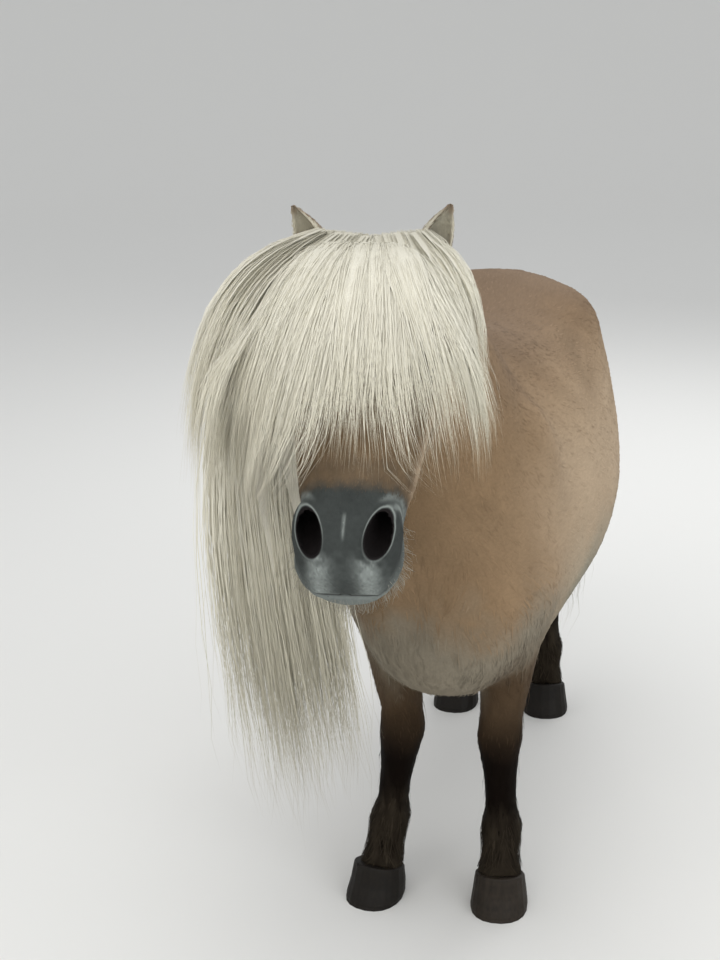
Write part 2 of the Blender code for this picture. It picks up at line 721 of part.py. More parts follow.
def mouth_groove():
    """A thin tube that runs round the muzzle where the lips meet."""
    rings = []
    for i in range(MOUTH_STEPS + 1):
        angle = math.radians(-50 + 280 * i / MOUTH_STEPS)
        ahead, aside = max(math.sin(angle), 0), math.cos(angle)
        behind = min(math.sin(angle), 0)
        if behind:
            aside = math.copysign(1, aside)
        down = MOUTH_TURN + MOUTH_REACH * ahead + MOUTH_BACK * behind
        inwards = max(MOUTH_TURN - down, 0)
        middle = Vector(((MOUTH_HALF_WIDTH - 0.16 * inwards) * aside, MOUTH_LEVEL + 0.10 * inwards, -down))
        away = Vector((middle.x, 0, min(MOUTH_TURN - down, 0))).normalized()
        ring = []
        for k in range(6):
            turn = math.pi * k / 3
            edge = away * MOUTH_DEPTH * math.cos(turn) + Vector((0, MOUTH_GROOVE * math.sin(turn), 0))
            ring.append((middle + edge) * PERCENT_OF_HEAD)
        rings.append(ring)
    groove = loft("groove", rings)
    groove.data.transform(head_matrix())
    return groove


def ear(name, side):
    """A cupped leaf with its hollow to the front, open at the base."""
    rings = []
    for share, width, span in EAR_STATIONS:
        radius = EAR_RADIUS * width
        wall = min(EAR_WALL, radius * 0.55)
        last = EAR_POINTS - 1
        arc = [math.radians(-span + 2 * span * i / last) for i in range(EAR_POINTS)]
        bend = EAR_BEND * share * share

        def edge(a, r):
            return Vector((math.sin(a) * r, math.cos(a) * r * 0.85 - bend, share * EAR_LENGTH))

        rings.append([edge(a, radius) for a in arc] + [edge(a, radius - wall) for a in reversed(arc)])
    bm = bmesh.new()
    loops = [[bm.verts.new(p) for p in ring] for ring in rings]
    for lower, upper in zip(loops, loops[1:]):
        for i in range(len(lower)):
            j = (i + 1) % len(lower)
            bm.faces.new((lower[i], lower[j], upper[j], upper[i]))
    bm.faces.new(loops[0])
    bm.faces.new(loops[-1])
    made = add_object(name, bm)
    foot = head_matrix() @ Vector((EAR_FOOT[0] * side, EAR_FOOT[1], EAR_FOOT[2]))
    made.data.transform(
        Matrix.Translation(foot)
        @ Matrix.Rotation(HEAD_TURN, 4, "Z")
        @ Matrix.Rotation(EAR_SPLAY * side, 4, "Y")
        @ Matrix.Rotation(EAR_FORWARD, 4, "X")
        @ Matrix.Rotation(EAR_TURN * side, 4, "Z")
    )
    return made


def eye(name, side):
    return ellipsoid(name, (EYE_RADIUS * PERCENT_OF_HEAD,) * 3, Matrix.Translation(eye_centre(side)), 2)


class Skin:
    """The fused body as a surface that hair lies on, with the ears as posts beside the forelock."""

    def __init__(self, body):
        bm = bmesh.new()
        bm.from_mesh(body.data)
        self.tree = BVHTree.FromBMesh(bm)
        bm.free()
        self.posts = []
        for _, side in SIDES:
            foot = head_matrix() @ Vector((EAR_FOOT[0] * side, EAR_FOOT[1], EAR_FOOT[2]))
            up = Vector((math.sin(EAR_SPLAY) * side, 0, math.cos(EAR_SPLAY)))
            self.posts.append((foot, foot + up * EAR_LENGTH))

    def clear(self, point, lift):
        """The point moved off the skin until it stands at least lift above it, and the way outwards."""
        spot, normal, _, _ = self.tree.find_nearest(point)
        height = (point - spot).dot(normal)
        if height < lift:
            point = point + normal * (lift - height)
        for foot, tip in self.posts:
            along = (tip - foot).normalized()
            reach = (point - foot).dot(along)
            if 0 < reach < EAR_LENGTH:
                away = point - foot - along * reach
                if away.length < EAR_ROOM:
                    point = point + away.normalized() * (EAR_ROOM - away.length)
        return point, normal, height


def fall(skin, root, heading, size, lift, fence=None, drift=Vector((0, 0, 0))):
    """The path of a lock: it leaves the root along its heading, bends down and slides over the skin."""
    step = 0.012
    points, outs = [root], [skin.clear(root, -1)[1]]
    way = heading.normalized()
    length = 0.0
    while length < size.length:
        way = (way + (DOWN * size.droop + drift) * step).normalized()
        length += step
        rise = lift * min(length / 0.05, 1)
        point, normal, height = skin.clear(points[-1] + way * step, rise)
        if height < rise and way.dot(normal) < 0:
            way = (way - normal * way.dot(normal)).normalized()
        if fence:
            beyond = (point - fence[0]).dot(fence[1]) + FENCE_ROOM
            if beyond > 0:
                point = point - fence[1] * beyond
                way = (way - fence[1] * max(way.dot(fence[1]), 0)).normalized()
        if point.z < HAIR_FLOOR:
            break
        near = max(0.0, 1 - max(height, 0) / 0.10)
        out = (outs[-1] * (1 - 0.5 * near) + normal * 0.5 * near).normalized()
        points.append(point)
        outs.append(out)
    return eased(points), outs


def eased(points, rounds=4):
    """The same path with its kinks taken out."""
    for _ in range(rounds):
        inner = [(a + 2 * b + c) / 4 for a, b, c in zip(points, points[1:], points[2:])]
        points = [points[0], *inner, points[-1]]
    return points


def lock(skin, root, heading, size, lift, face=None, **limits):
    """A flat lock of hair with a lens section that follows its path and tapers to a point."""
    points, outs = fall(skin, root, heading, size, lift, **limits)
    if face:
        outs = [face] * len(outs)
    rings = []
    for k in range(size.stations):
        share = k / size.stations
        at = share * (len(points) - 1)
        i, t = int(at), at - int(at)
        middle = points[i].lerp(points[i + 1], t)
        along = (points[i + 1] - points[i]).normalized()
        across = along.cross(outs[i].lerp(outs[i + 1], t)).normalized()
        out = across.cross(along)
        full = (0.75 + share) if share < 0.25 else 1 - ((share - 0.25) / 0.75) ** 3
        wide, thick = size.width / 2 * full, size.thick / 2 * max(full, 0.35)
        aside, proud = across * wide, out * thick
        rings.append([middle + aside, middle + proud, middle - aside, middle - proud])
    return tapered(rings, points[-1])


def tapered(rings, tip):
    """A closed skin over rings, flat at the root and drawn to a point at the tip."""
    bm = bmesh.new()
    loops = [[bm.verts.new(p) for p in ring] for ring in rings]
    end = bm.verts.new(tip)
    bm.faces.new(loops[0])
    for lower, upper in zip(loops, loops[1:]):
        for i in range(4):
            j = (i + 1) % 4
            bm.faces.new((lower[i], lower[j], upper[j], upper[i]))
    for i in range(4):
        bm.faces.new((loops[-1][i], loops[-1][(i + 1) % 4], end))
    return add_object("lock", bm)


def spread(count, rng, jitter=0.15):
    """Evenly placed shares from 0 to 1, each moved a little."""
    return [min(max((i + 0.5 + rng.uniform(-jitter, jitter)) / count, 0), 1) for i in range(count)]


def varied(size, rng):
    by = rng.uniform(0.9, 1.08)
    return size._replace(length=size.length * by, width=size.width * rng.uniform(0.85, 1.15))


def forelock_locks(skin, rng):
    """From a dome between the ears, fanned over the forehead and both cheeks."""
    fence = (PARTING_POINT, PARTING_NORMAL * PARTING["forelock"])
    frame = head_matrix()
    across, reach, height = FORELOCK_ROOT
    made = [ellipsoid("dome", FORELOCK_DOME, frame @ Matrix.Translation((0, reach, -height)), 2)]
    for number, row in enumerate(FORELOCK_ROWS):
        for share in spread(row.count, rng):
            u = 2 * share - 1
            turn = (0.8 * u + 0.2 * u**3) * FORELOCK_FAN
            root = frame @ Vector((u * across, reach + number * FORELOCK_BACK, height))
            heading = frame.to_3x3() @ Vector((math.sin(turn), -row.rise, -math.cos(turn)))
            size = varied(row.size, rng)
            size = size._replace(droop=size.droop * (1 + FORELOCK_SWEEP[u > 0] * u))
            made.append(lock(skin, root, heading, size, row.lift + rng.uniform(0, 0.006), fence=fence))
    return made


def crest_point(share):
    """A point just under the crest of the neck, from behind the ears (0) to the withers (1)."""
    sections = between(NECK, 6)
    at = (1 - share) * (len(sections) - 1)
    i = min(int(at), len(sections) - 2)
    t = at - i
    a, b = sections[i], sections[i + 1]
    return Vector(
        (
            a.offset + (b.offset - a.offset) * t + CREST_SIDE,
            a.crest_y + (b.crest_y - a.crest_y) * t,
            a.crest_z + (b.crest_z - a.crest_z) * t - CREST_DEPTH,
        )
    ) * PERCENT_OF_WITHERS


def mane_locks(skin, rng):
    """From the whole crest, thrown over to the pony's right."""
    fence = (PARTING_POINT, PARTING_NORMAL * PARTING["mane"])
    made = []
    for number, droop in enumerate(MANE_FRONT_DROOPS):
        outwards = number / (len(MANE_FRONT_DROOPS) - 1)
        length = MANE_FRONT.length * (MANE_FRONT_INNER + (1 - MANE_FRONT_INNER) * outwards)
        size = varied(MANE_FRONT._replace(droop=droop, length=length), rng)
        heading = Vector((-1, -0.35, 0.35))
        root = crest_point(MANE_FROM + 0.01 * number)
        face = Vector((-0.3, -1, 0)).normalized()
        drift = Vector((MANE_GATHER * droop / MANE_FRONT.droop, 0, 0))
        made.append(lock(skin, root, heading, size, 0.02, face=face, fence=fence, drift=drift))
    for row in MANE_ROWS:
        for share in spread(row.count, rng):
            root = crest_point(MANE_FROM + (MANE_TO - MANE_FROM) * share)
            heading = Vector((-1, -0.55 * (1 - share) + 0.25 * share, row.rise))
            length = row.size.length * (1 - MANE_SHORTER_BEHIND * share**1.5)
            size = varied(row.size._replace(length=length), rng)
            lift = row.lift * (1 - 0.5 * share) + rng.uniform(0, 0.008)
            drift = Vector((MANE_GATHER * (1 - share), 0, 0))
            made.append(lock(skin, root, heading, size, lift, fence=fence, drift=drift))
    return made


def tail_locks(skin, rng):
    """From the dock, round all its sides, straight down behind the hocks."""
    made = []
    for row in TAIL_ROWS:
        for share in spread(row.count, rng):
            turn = (2 * share - 1) * row.rise
            root = Vector((math.sin(turn) * 0.014, 0, 0)) + TAIL_ROOT
            heading = Vector((math.sin(turn) * 0.8, math.cos(turn) * TAIL_DEPTH + 0.3, 0.15))
            made.append(lock(skin, root, heading, varied(row.size, rng), row.lift + rng.uniform(0, 0.012)))
    return made


def fused(name, locks):
    """One closed body from many locks, by one union over the collection that holds them."""
    group = bpy.data.collections.new("locks")
    bpy.context.scene.collection.children.link(group)
    for piece in locks[1:]:
        bpy.context.scene.collection.objects.unlink(piece)
        group.objects.link(piece)
    body = locks[0]
    body.name = name
    body.data.name = name
    boolean(body, None, "UNION", group=group)
    for piece in locks[1:]:
        bpy.data.objects.remove(piece, do_unlink=True)
    bpy.data.collections.remove(group)
    return largest_body(body)


def fetlock_locks(skin, place, side):
    """A tuft at the back of one fetlock."""
    sections = FORELEG if place.startswith("front") else HIND_LEG
    fetlock = next(section for section in sections if section.z == FETLOCK_LEVEL)
    x, y, z = FETLOCK_ROOT
    made = []
    for turn in FETLOCK_TURNS:
        turn = math.radians(turn) + toe_out(place, side)
        root = Vector((fetlock.x * side + x, fetlock.y + y, z)) * PERCENT_OF_WITHERS
        root.x += foot_shift(STANCES[place], side, root.z)
        heading = Vector((math.sin(turn), math.cos(turn), -2.2))
        made.append(lock(skin, root, heading, FETLOCK_TUFT, 0.003))
    return made


def hair_form(name, make_locks, skin, neighbours):
    """A body of fused locks, clear of its neighbours. It is drawn again where its locks tangle."""
    for seed in range(HAIR_TRIES):
        form = fused(name, make_locks(skin, random.Random(seed)))
        if name in PARTING:
            form = half(form, *parting_cut(PARTING[name]))
        cut_clear(form, neighbours)
        bm = bmesh.new()
        bm.from_mesh(form.data)
        sound = is_sound(bm)
        bm.free()
        if sound:
            break
        if seed < HAIR_TRIES - 1:
            bpy.data.objects.remove(form, do_unlink=True)
    return form


def parting_cut(side):
    """The plane that keeps forelock and mane apart, as a point and the way that is cut off."""
    normal = PARTING_NORMAL * side
    return PARTING_POINT - normal * GAP, normal


def centre_on_floor():
    """Moves every piece so that the whole stands on the floor round the middle of its own box."""
    everything = [obj for obj in bpy.context.scene.objects if obj.type == "MESH"]
    places = np.array([v.co for obj in everything for v in obj.data.vertices])
    low, high = places.min(0), places.max(0)
    move = Vector((-(low[0] + high[0]) / 2, -(low[1] + high[1]) / 2, -low[2]))
    for obj in everything:
        obj.data.transform(Matrix.Translation(move))


def part_leg(leg, skin, end, label, side):
    """The leg above its knee or hock, and the shank below it with the tuft of its fetlock."""
    place = f"{end}_{label}"
    foot_y = (FORE_Y if end == "front" else HIND_Y) * PERCENT_OF_WITHERS
    knee, slope = KNEE_CUT[end]
    bend = Vector((0, foot_y, knee * PERCENT_OF_WITHERS))
    along = Vector((0, slope, 1)).normalized()
    shank = half(copy_of(leg, f"shank_{place}"), bend - along * GAP / 2, along)
    half(leg, bend + along * GAP / 2, -along)
    for tuft in fetlock_locks(skin, place, side):
        boolean(shank, tuft, "UNION")
        bpy.data.objects.remove(tuft, do_unlink=True)
    middle, up = coronet_plane(foot_y)
    middle.x = foot_x(place, side)
    half(shank, middle, -(Matrix.Rotation(toe_out(place, side), 3, "Z") @ up))
    return largest_body(leg), largest_body(shank)


def part_body(body, skin):
    """Head, neck, torso, legs and shanks, each cut from the whole body with a hairline between."""
    coarse = thinned(body, BODY_SHARE, "coarse")
    point, forward = HEAD_CUT
    head = half(thinned(body, HEAD_SHARE, "head"), point + forward * GAP / 2, -forward)
    head = carve_face(largest_body(head))
    neck = half(copy_of(coarse, "neck"), point - forward * GAP / 2, forward)
    point, forward = NECK_CUT
    neck = largest_body(half(neck, point + forward * GAP / 2, -forward))
    torso = half(copy_of(coarse, "torso"), point - forward * GAP / 2, forward)
    legs = []
    for end, room in (("front", FORE_ROOM), ("hind", HIND_ROOM)):
        for label, side in SIDES:
            leg = half(copy_of(coarse, f"leg_{end}_{label}"), point - forward * GAP / 2, forward)
            inside = block("room", room, side, 0)
            outside = block("room_out", room, side, GAP)
            boolean(leg, inside, "INTERSECT")
            boolean(torso, outside, "DIFFERENCE")
            bpy.data.objects.remove(inside, do_unlink=True)
            bpy.data.objects.remove(outside, do_unlink=True)
            legs += part_leg(leg, skin, end, label, side)
    bpy.data.objects.remove(coarse, do_unlink=True)
    bpy.data.objects.remove(body, do_unlink=True)
    return [head, neck, largest_body(torso)], legs


def painted(obj, finish):
    obj.data.materials.clear()
    obj.data.materials.append(finish)
    return obj


def main():
    clear_scene()
    coat = material("coat", CHESTNUT, 0.7)
    horn = material("horn", HORN_GREY, 0.45)
    glassy = material("eye", EYE_BROWN, 0.08)
    hair = material("hair", FLAXEN, 0.6)
    whole = flesh()
    skin = Skin(whole)
    trunk_nodes, leg_nodes = part_body(whole, skin)
    for node in trunk_nodes + leg_nodes:
        painted(node, coat)
    for end, y in (("front", FORE_Y), ("hind", HIND_Y)):
        for label, side in SIDES:
            place = f"{end}_{label}"
            stands_at = foot_x(place, side), y * PERCENT_OF_WITHERS
            painted(hoof(f"hoof_{place}", *stands_at, toe_out(place, side)), horn)
    head_and_neck = trunk_nodes[:2]
    ear_rooms = []
    for label, side in SIDES:
        cup = ear(f"ear_{label}", side)
        ear_rooms.append(hull_of(cup, "ear_room"))
        painted(cut_clear(cup, head_and_neck), coat)
        painted(eye(f"eye_{label}", side), glassy)
    for name, make_locks, neighbours in (
        ("forelock", forelock_locks, head_and_neck + ear_rooms),
        ("mane", mane_locks, trunk_nodes + ear_rooms),
        ("tail", tail_locks, trunk_nodes[2:]),
    ):
        painted(hair_form(name, make_locks, skin, neighbours), hair)
    for room in ear_rooms:
        bpy.data.objects.remove(room, do_unlink=True)
    centre_on_floor()


main()
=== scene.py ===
"""The looks of a Shetland pony that stands still: skin, short coat, forelock, mane, tail, eyes, hooves."""

import math
import random
from collections import namedtuple

import bmesh
import bpy
import numpy as np
from mathutils import Matrix, Quaternion, Vector
from mathutils.bvhtree import BVHTree


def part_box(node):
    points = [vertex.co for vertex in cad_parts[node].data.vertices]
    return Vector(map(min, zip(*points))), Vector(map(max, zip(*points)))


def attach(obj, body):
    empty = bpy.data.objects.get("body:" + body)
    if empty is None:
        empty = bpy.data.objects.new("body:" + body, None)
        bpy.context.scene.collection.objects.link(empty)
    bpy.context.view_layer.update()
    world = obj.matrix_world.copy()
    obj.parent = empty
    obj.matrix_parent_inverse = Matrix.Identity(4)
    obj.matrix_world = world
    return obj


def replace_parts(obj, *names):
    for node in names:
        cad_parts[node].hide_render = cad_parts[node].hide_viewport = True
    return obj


ENDS = ("front", "hind")
SIDES = (("left", 1), ("right", -1))
DOWN = Vector((0, 0, -1))
SAME_PLACE = 1e-5  # corners nearer than this are one

# The camera: lens for a 36 mm sensor on the long side, and how it stands and leans
LENS = 56.25
CAMERA_PLACE = Vector((0.3135, -2.1026, 1.28))
CAMERA_TURN = math.radians(12)
CAMERA_PITCH = math.radians(17.2)
CAMERA_ROLL = math.radians(1.48)

# The hanging head, before it is raised: hundredths of its own length, x to its left, y to the jaw
HEAD = 0.375
HEAD_TILT = math.radians(46)
HEAD_TURN = math.radians(3.2)
POLL = Vector((-0.032, -0.620, 0.985))
HEAD_BACK = -0.605  # the y at which the skin's own finish for the head begins
EYE_PLACE = (15.6, -5.4, -31.0)
EYE_OPENING = (2.3, 3.7)  # half height and half length of the slit between the lids
NOSTRIL_PLACE = (9.9, -8.4, -85.8)
NOSTRIL_SIZE = (3.5, 5.6, 10.4)
NOSTRIL_LEAN = (math.radians(-30), math.radians(13))  # back, and its foot inwards
MOUTH_LEVEL = 3.4
HEAD_HALF_WIDTH = 17
HEAD_BLEND = 0.06  # how far the skin passes from the head's fineness to the body's
EAR_FOOT = (0.049, -0.006, 0.004)
EAR_LENGTH = 0.098
EAR_SPLAY = math.radians(21)
EAR_HIDDEN = 0.42  # the share of an ear that hair may cover
EAR_ROOM = 0.016

# The skin
SKIN_GRAIN = 0.0035
SKIN_FACES = 57000
SKIN_ROUNDS = 26
EASE_STEPS = (0.5, -0.52)  # in, then back out
UNWRAP_ANGLE = math.radians(66)
FLESH = ("head", "neck", "torso", "leg", "shank")
COAT_DEPTH = 0.0020
FACE_DEPTH = 0.0008

# Creases of the skin: half width, depth, how much painted shade darkens the groove, swelling beside it, and
# a line of places in the frame
Crease = namedtuple("Crease", "width depth dark swell line")
CREASES = (
    Crease(0.007, 0.004, 0.45, 0.002, (
        (-0.098, -0.158, 0.372), (-0.074, -0.176, 0.352), (-0.046, -0.166, 0.326))),
    Crease(0.007, 0.004, 0.40, 0.002, (
        (0.046, -0.246, 0.423), (0.064, -0.233, 0.404), (0.090, -0.209, 0.381))),
    Crease(0.010, 0.005, 0.25, 0.003, (
        (0.146, 0.265, 0.800), (0.166, 0.222, 0.776), (0.187, 0.165, 0.750), (0.204, 0.120, 0.722))),
    Crease(0.010, 0.004, 0.3, 0.003, (
        (-0.146, 0.265, 0.800), (-0.166, 0.222, 0.776), (-0.187, 0.165, 0.750))),
    Crease(0.009, 0.002, 0.40, 0.0, (
        (0.010, 0.300, 0.860), (0.012, 0.360, 0.870), (0.020, 0.430, 0.876))),
    Crease(0.016, 0.004, 0.14, 0.001, (
        (0.000, -0.262, 0.640), (0.001, -0.268, 0.560), (-0.001, -0.262, 0.470), (0.004, -0.245, 0.420))),
    Crease(0.022, 0.003, 0.08, 0.001, (
        (0.020, -0.300, 0.700), (0.075, -0.270, 0.655), (0.120, -0.205, 0.600))),
)

# Colours, as light reflected
CHESTNUT = (0.265, 0.178, 0.103)
DUN = (0.198, 0.138, 0.092)
FAWN = (0.53, 0.415, 0.295)
PALE_BELLY = (0.27, 0.265, 0.215)
CHEST_GREY = (0.23, 0.21, 0.165)
# The face's own brown, darkened further as painted shadow of the forelock
FACE_BROWN = (0.165, 0.114, 0.068)
NOSE_BROWN = (0.115, 0.085, 0.056)
SLATE = (0.044, 0.049, 0.047)
LIP_GREY = (0.30, 0.33, 0.315)
# Painted highlight: pale on the nostrils' rims and wings, and on the line between the nostrils
RIM_HIGHLIGHT = (0.24, 0.265, 0.25)
LIP_DARK = (0.20, 0.222, 0.212)
# Painted shade: near black inside the nostrils and along the mouth's line
NOSTRIL_AND_MOUTH_SHADE = (0.013, 0.011, 0.011)
LEG_BROWN = (0.080, 0.052, 0.030)
LEG_BLACK = (0.005, 0.003, 0.002)
FETLOCK_GREY = (0.060, 0.048, 0.033)
EAR_TAN = (0.36, 0.27, 0.18)
EAR_RIM = (0.17, 0.11, 0.07)
EAR_PALE = (0.50, 0.47, 0.38)
CREAM = (0.76, 0.735, 0.63)
# Painted shade: the forelock's roots are darkened so that its top looks no brighter than the rest
CREAM_ROOT_PAINTED_SHADE = (0.55, 0.53, 0.445)
# Painted light: the upper part of the mane, and likewise of the tail, is lightened
CREAM_PAINTED_LIGHT = (0.88, 0.85, 0.73)
# The tips of the mane and tail: darker partly from dirt, partly as painted shade
MANE_TIP_DIRT_AND_SHADE = (0.34, 0.31, 0.23)
CREAM_LOW = (0.73, 0.70, 0.58)
STRAW = (0.46, 0.41, 0.30)
# Horn: its colour, and the darker one of its streaks
DARK_HORN = ((0.013, 0.010, 0.007), (0.006, 0.005, 0.004))
PALE_HORN = ((0.032, 0.024, 0.017), (0.013, 0.010, 0.007))
PALE_HOOF = ("front", "left")
RING_PITCH = 1150  # how close the growth rings are
BUMP_DEPTH = 0.001
COAT_SHINE = {"Specular_IOR_Level": 0.03, "Sheen_Weight": 0.01}
EYE_RADIUS = 0.0176
PUPIL_SIZE = Vector((0.012, 0.0070, 0.0034))
IRIS_SIZE = PUPIL_SIZE / 0.3
IRIS_SHADES = (
    (0.28, (0.003, 0.003, 0.003)),
    (0.36, (0.060, 0.030, 0.014)),
    (0.62, (0.020, 0.010, 0.006)),
    (0.8, (0.008, 0.006, 0.005)),
)
# Long hair from root to tip
FORELOCK_SHADES = ((0.0, CREAM_ROOT_PAINTED_SHADE), (0.4, CREAM), (0.55, CREAM), (0.8, CREAM_LOW), (1.0, STRAW))
MANE_SHADES = ((0.0, CREAM), (0.3, CREAM_PAINTED_LIGHT), (0.5, CREAM_PAINTED_LIGHT), (0.65, CREAM_LOW), (1.0, MANE_TIP_DIRT_AND_SHADE))
FLOOR_GREY = (0.78, 0.78, 0.76)
FLOOR_RADIUS, FLOOR_CURVE, FLOOR_STEPS = 8.0, 5.0, 12
SKY, SKY_STRENGTH = (0.97, 0.98, 1.0, 1), 0.70
# Lamps: name, place, aim, size, power, colour
LIGHTS = (
    ("key", (-0.3, -2.4, 2.9), (0, -0.3, 0.6), 3.4, 51, (1.0, 0.985, 0.96)),
    ("fill", (2.4, -2.0, 1.9), (0, 0, 0.6), 2.6, 26, (0.97, 0.985, 1.0)),
    ("back", (0.5, 2.6, 2.6), (0, 0.3, 0.6), 2.2, 34, (1, 1, 1)),
)

# Where a long lock grows: its path, the way outwards along it, and how wide and deep it is
Guide = namedtuple("Guide", "points outs width depth")
# How the strands of a lock are drawn; light passes through hair, so they all look somewhat one way
Strand = namedtuple("Strand", "width stations shortest clump wave wave_length stray light")
FORELOCK_STRAND = Strand(0.00074, 7, 0.35, 0.25, 0.0014, 0.040, 0.017, (0.30, -1.70, 1.35))
MANE_STRAND = Strand(0.0011, 10, 0.55, 0.30, 0.0016, 0.100, 0.020, (-0.20, -1.00, 0.80))
TAIL_STRAND = Strand(0.0015, 12, 0.50, 0.50, 0.0020, 0.120, 0.016, (0, 0.2, 0.6))
STRAND_THICKNESS = 0.3
STRAND_SOFTNESS = 0.95  # how far a strand takes its light from the lock that it lies in
TUFT_SOFTNESS = 0.94
FACING_LEAST = 0.40  # how far a corner's normal keeps to its face's own
TUFT_THICKNESS = 0.15
TUFT_ROOT = 0.0012  # how deep a tuft is rooted under the skin
BAKE_PATCH = 0.003
# Steps of a falling lock, and the lengths over which it rises to its lift and feels the skin under it
FALL_STEP, FALL_RISE, FALL_NEAR = 0.010, 0.05, 0.10
FALL_ROUNDS = 14
LIFT_CHANGE, WIDTH_CHANGE = (-0.004, 0.008), (0.8, 1.2)
LOCK_SEED, STRAND_SEED = 7, 5

# Rows of locks; lift is over the skin, and rise is how steeply they leave the root, or in the tail how
# far round the dock they grow
Row = namedtuple("Row", "count length droop lift rise width depth")
FORELOCK_ROWS = (
    Row(30, 0.220, 13.0, 0.018, 0.22, 0.044, 0.006),
    Row(50, 0.265, 11.5, 0.028, 0.38, 0.036, 0.005),
    Row(90, 0.300, 10.5, 0.036, 0.54, 0.034, 0.005),
)
FORELOCK_ROOT = (0.062, -0.040, 0.016)
FORELOCK_BACK = 0.008
FORELOCK_FAN = math.radians(84)
FORELOCK_SWEEP = (0.0, 1.5)  # later bending on the pony's right, sooner on its left
# How much shorter its locks are on the pony's left, and longer on its right and over the nose
FORELOCK_SHORTER, FORELOCK_RIGHT, FORELOCK_LONGER = 0.36, 0.30, 0.28
FORELOCK_END = 81  # down the nose, as a share of the head
FORELOCK_FILL = 0.009  # how much it is filled out on the pony's right
FORELOCK_CROWN = 0.020  # how much higher its roots are beside the ears
# The broad locks under the strands: how much of a lock's length, width and depth they take
UNDER_REACH, UNDER_WIDTH, UNDER_DEPTH = 0.66, 1.2, 0.3
UNDER_STATIONS, UNDER_THICKNESS = 12, 0.10
MANE_ROWS = (
    Row(14, 0.420, 13.0, 0.012, 0.42, 0.085, 0.012),
    Row(22, 0.690, 12.0, 0.024, 0.50, 0.060, 0.010),
    Row(40, 0.840, 9.4, 0.044, 0.60, 0.046, 0.009),
)
MANE_FRONT = Row(28, 0.830, 10.0, 0.020, 0.35, 0.038, 0.012)
MANE_FRONT_DROOPS = (18.0, 7.0)
MANE_FRONT_INNER = 0.92
MANE_FRONT_FACING = (-0.3, -1, 0)
MANE_FROM, MANE_TO = 0.12, 0.95
MANE_SHORTER_BEHIND = 0.32
MANE_GATHER = 1.2
# The crest from the withers to the poll, in hundredths of the height at the withers
CREST = (
    (0.0, -20.0, 97.5),
    (-0.2, -31.0, 102.0),
    (-1.0, -42.0, 107.5),
    (-2.0, -52.0, 112.0),
    (-2.9, -61.5, 115.0),
    (-3.6, -69.0, 115.0),
)
CREST_DEPTH = 1.4
CREST_SIDE = 0.9
PERCENT_OF_WITHERS = 0.0088
TAIL_ROWS = (
    Row(8, 0.420, 12.0, 0.012, 0.8, 0.050, 0.024),
    Row(12, 0.660, 12.0, 0.018, 1.2, 0.046, 0.020),
    Row(16, 0.790, 11.0, 0.028, 1.45, 0.042, 0.018),
)
TAIL_ROOT = (0, 0.400, 0.800)
HAIR_FLOOR = 0.070
FENCE_ROOM = -0.012  # forelock and mane meet and overlap by this much at their parting
PARTING_POINT = Vector((0, -0.622, 0.950))
PARTING_NORMAL = Vector((0, -0.965, 0.263)).normalized()


def only(*objs):
    """Selects these objects and nothing else, the last one active."""
    bpy.ops.object.select_all(action="DESELECT")
    for obj in objs:
        obj.select_set(True)
    bpy.context.view_layer.objects.active = objs[-1]


def put(owner, **values):
    """Sets several values of one thing."""
    for name, value in values.items():
        setattr(owner, name, value)


def middle(node):
    """The middle of a CAD node's box."""
    low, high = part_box(node)
    return (low + high) / 2


def wear(obj, slot, *nodes):
    """Ties an object to the body, with the nodes that it takes the place of; its slot is not used."""
    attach(obj, "root")
    if nodes:
        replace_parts(obj, *nodes)


def smooth(obj):
    only(obj)
    bpy.ops.object.shade_smooth()


def apply(obj, kind, **values):
    """Adds a modifier, sets its values and applies it."""
    only(obj)
    made = obj.modifiers.new(kind.lower(), kind)
    put(made, **values)
    bpy.ops.object.modifier_apply(modifier=made.name)


def fade(low, high, x):
    """0 at low and beyond, 1 at high and beyond, smooth between them."""
    t = np.clip((x - low) / (high - low), 0, 1)
    return t * t * (3 - 2 * t)


def bell(x, middle, width):
    """1 at the middle, falling away on both sides."""
    return np.exp(-(((x - middle) / width) ** 2))


def unit(v):
    return v / np.maximum(np.linalg.norm(v, axis=-1, keepdims=True), 1e-9)


def mixed(a, b, share):
    """Colours or ways a with b over them by share."""
    return a + (np.asarray(b) - a) * np.asarray(share)[..., None]


def layered(colour, *layers):
    """Colours or ways with others over them, each by its own share."""
    for over, share in layers:
        colour = mixed(colour, over, share)
    return colour


def ripple(points, size, seed):
    """A smooth, seeded unevenness from about -1 to 1, with features of a size in metres."""
    rng = np.random.default_rng(seed)
    total = np.zeros(len(points))
    for _ in range(7):
        way = unit(rng.normal(size=3)) * rng.uniform(0.6, 1.7) * 2 * math.pi / size
        total += np.sin(points @ way + rng.uniform(0, 2 * math.pi))
    return total / 3.2


def head_axes(shift):
    """From the hanging head's own axes to its place in the frame."""
    return (
        Matrix.Translation(POLL + shift)
        @ Matrix.Rotation(HEAD_TURN, 4, "Z")
        @ Matrix.Rotation(-HEAD_TILT, 4, "X")
    )


def in_head(points):
    """Points in hundredths of the head's length, in the hanging head's own axes."""
    back = np.array(HEAD_MATRIX.inverted())
    return (points @ back[:3, :3].T + back[:3, 3]) * 100 / HEAD


def head_parts(points):
    """Way from the head's middle, depth to the jaw, way down the nose, in hundredths of its length."""
    across, deep, up = in_head(points).T
    return np.abs(across), deep, -up


def head_share(points, low=0.02, high=-0.02):
    """Fades from low to high over the edge between neck and head: as given, 0 behind it and 1 before."""
    return fade(low, high, points[:, 1] - HEAD_EDGE)


def numbers(items, name, width=3):
    """One value of every vertex, edge, corner or face as an array."""
    values = np.empty(len(items) * width)
    items.foreach_get(name, values)
    return values.reshape(-1, width) if width > 1 else values


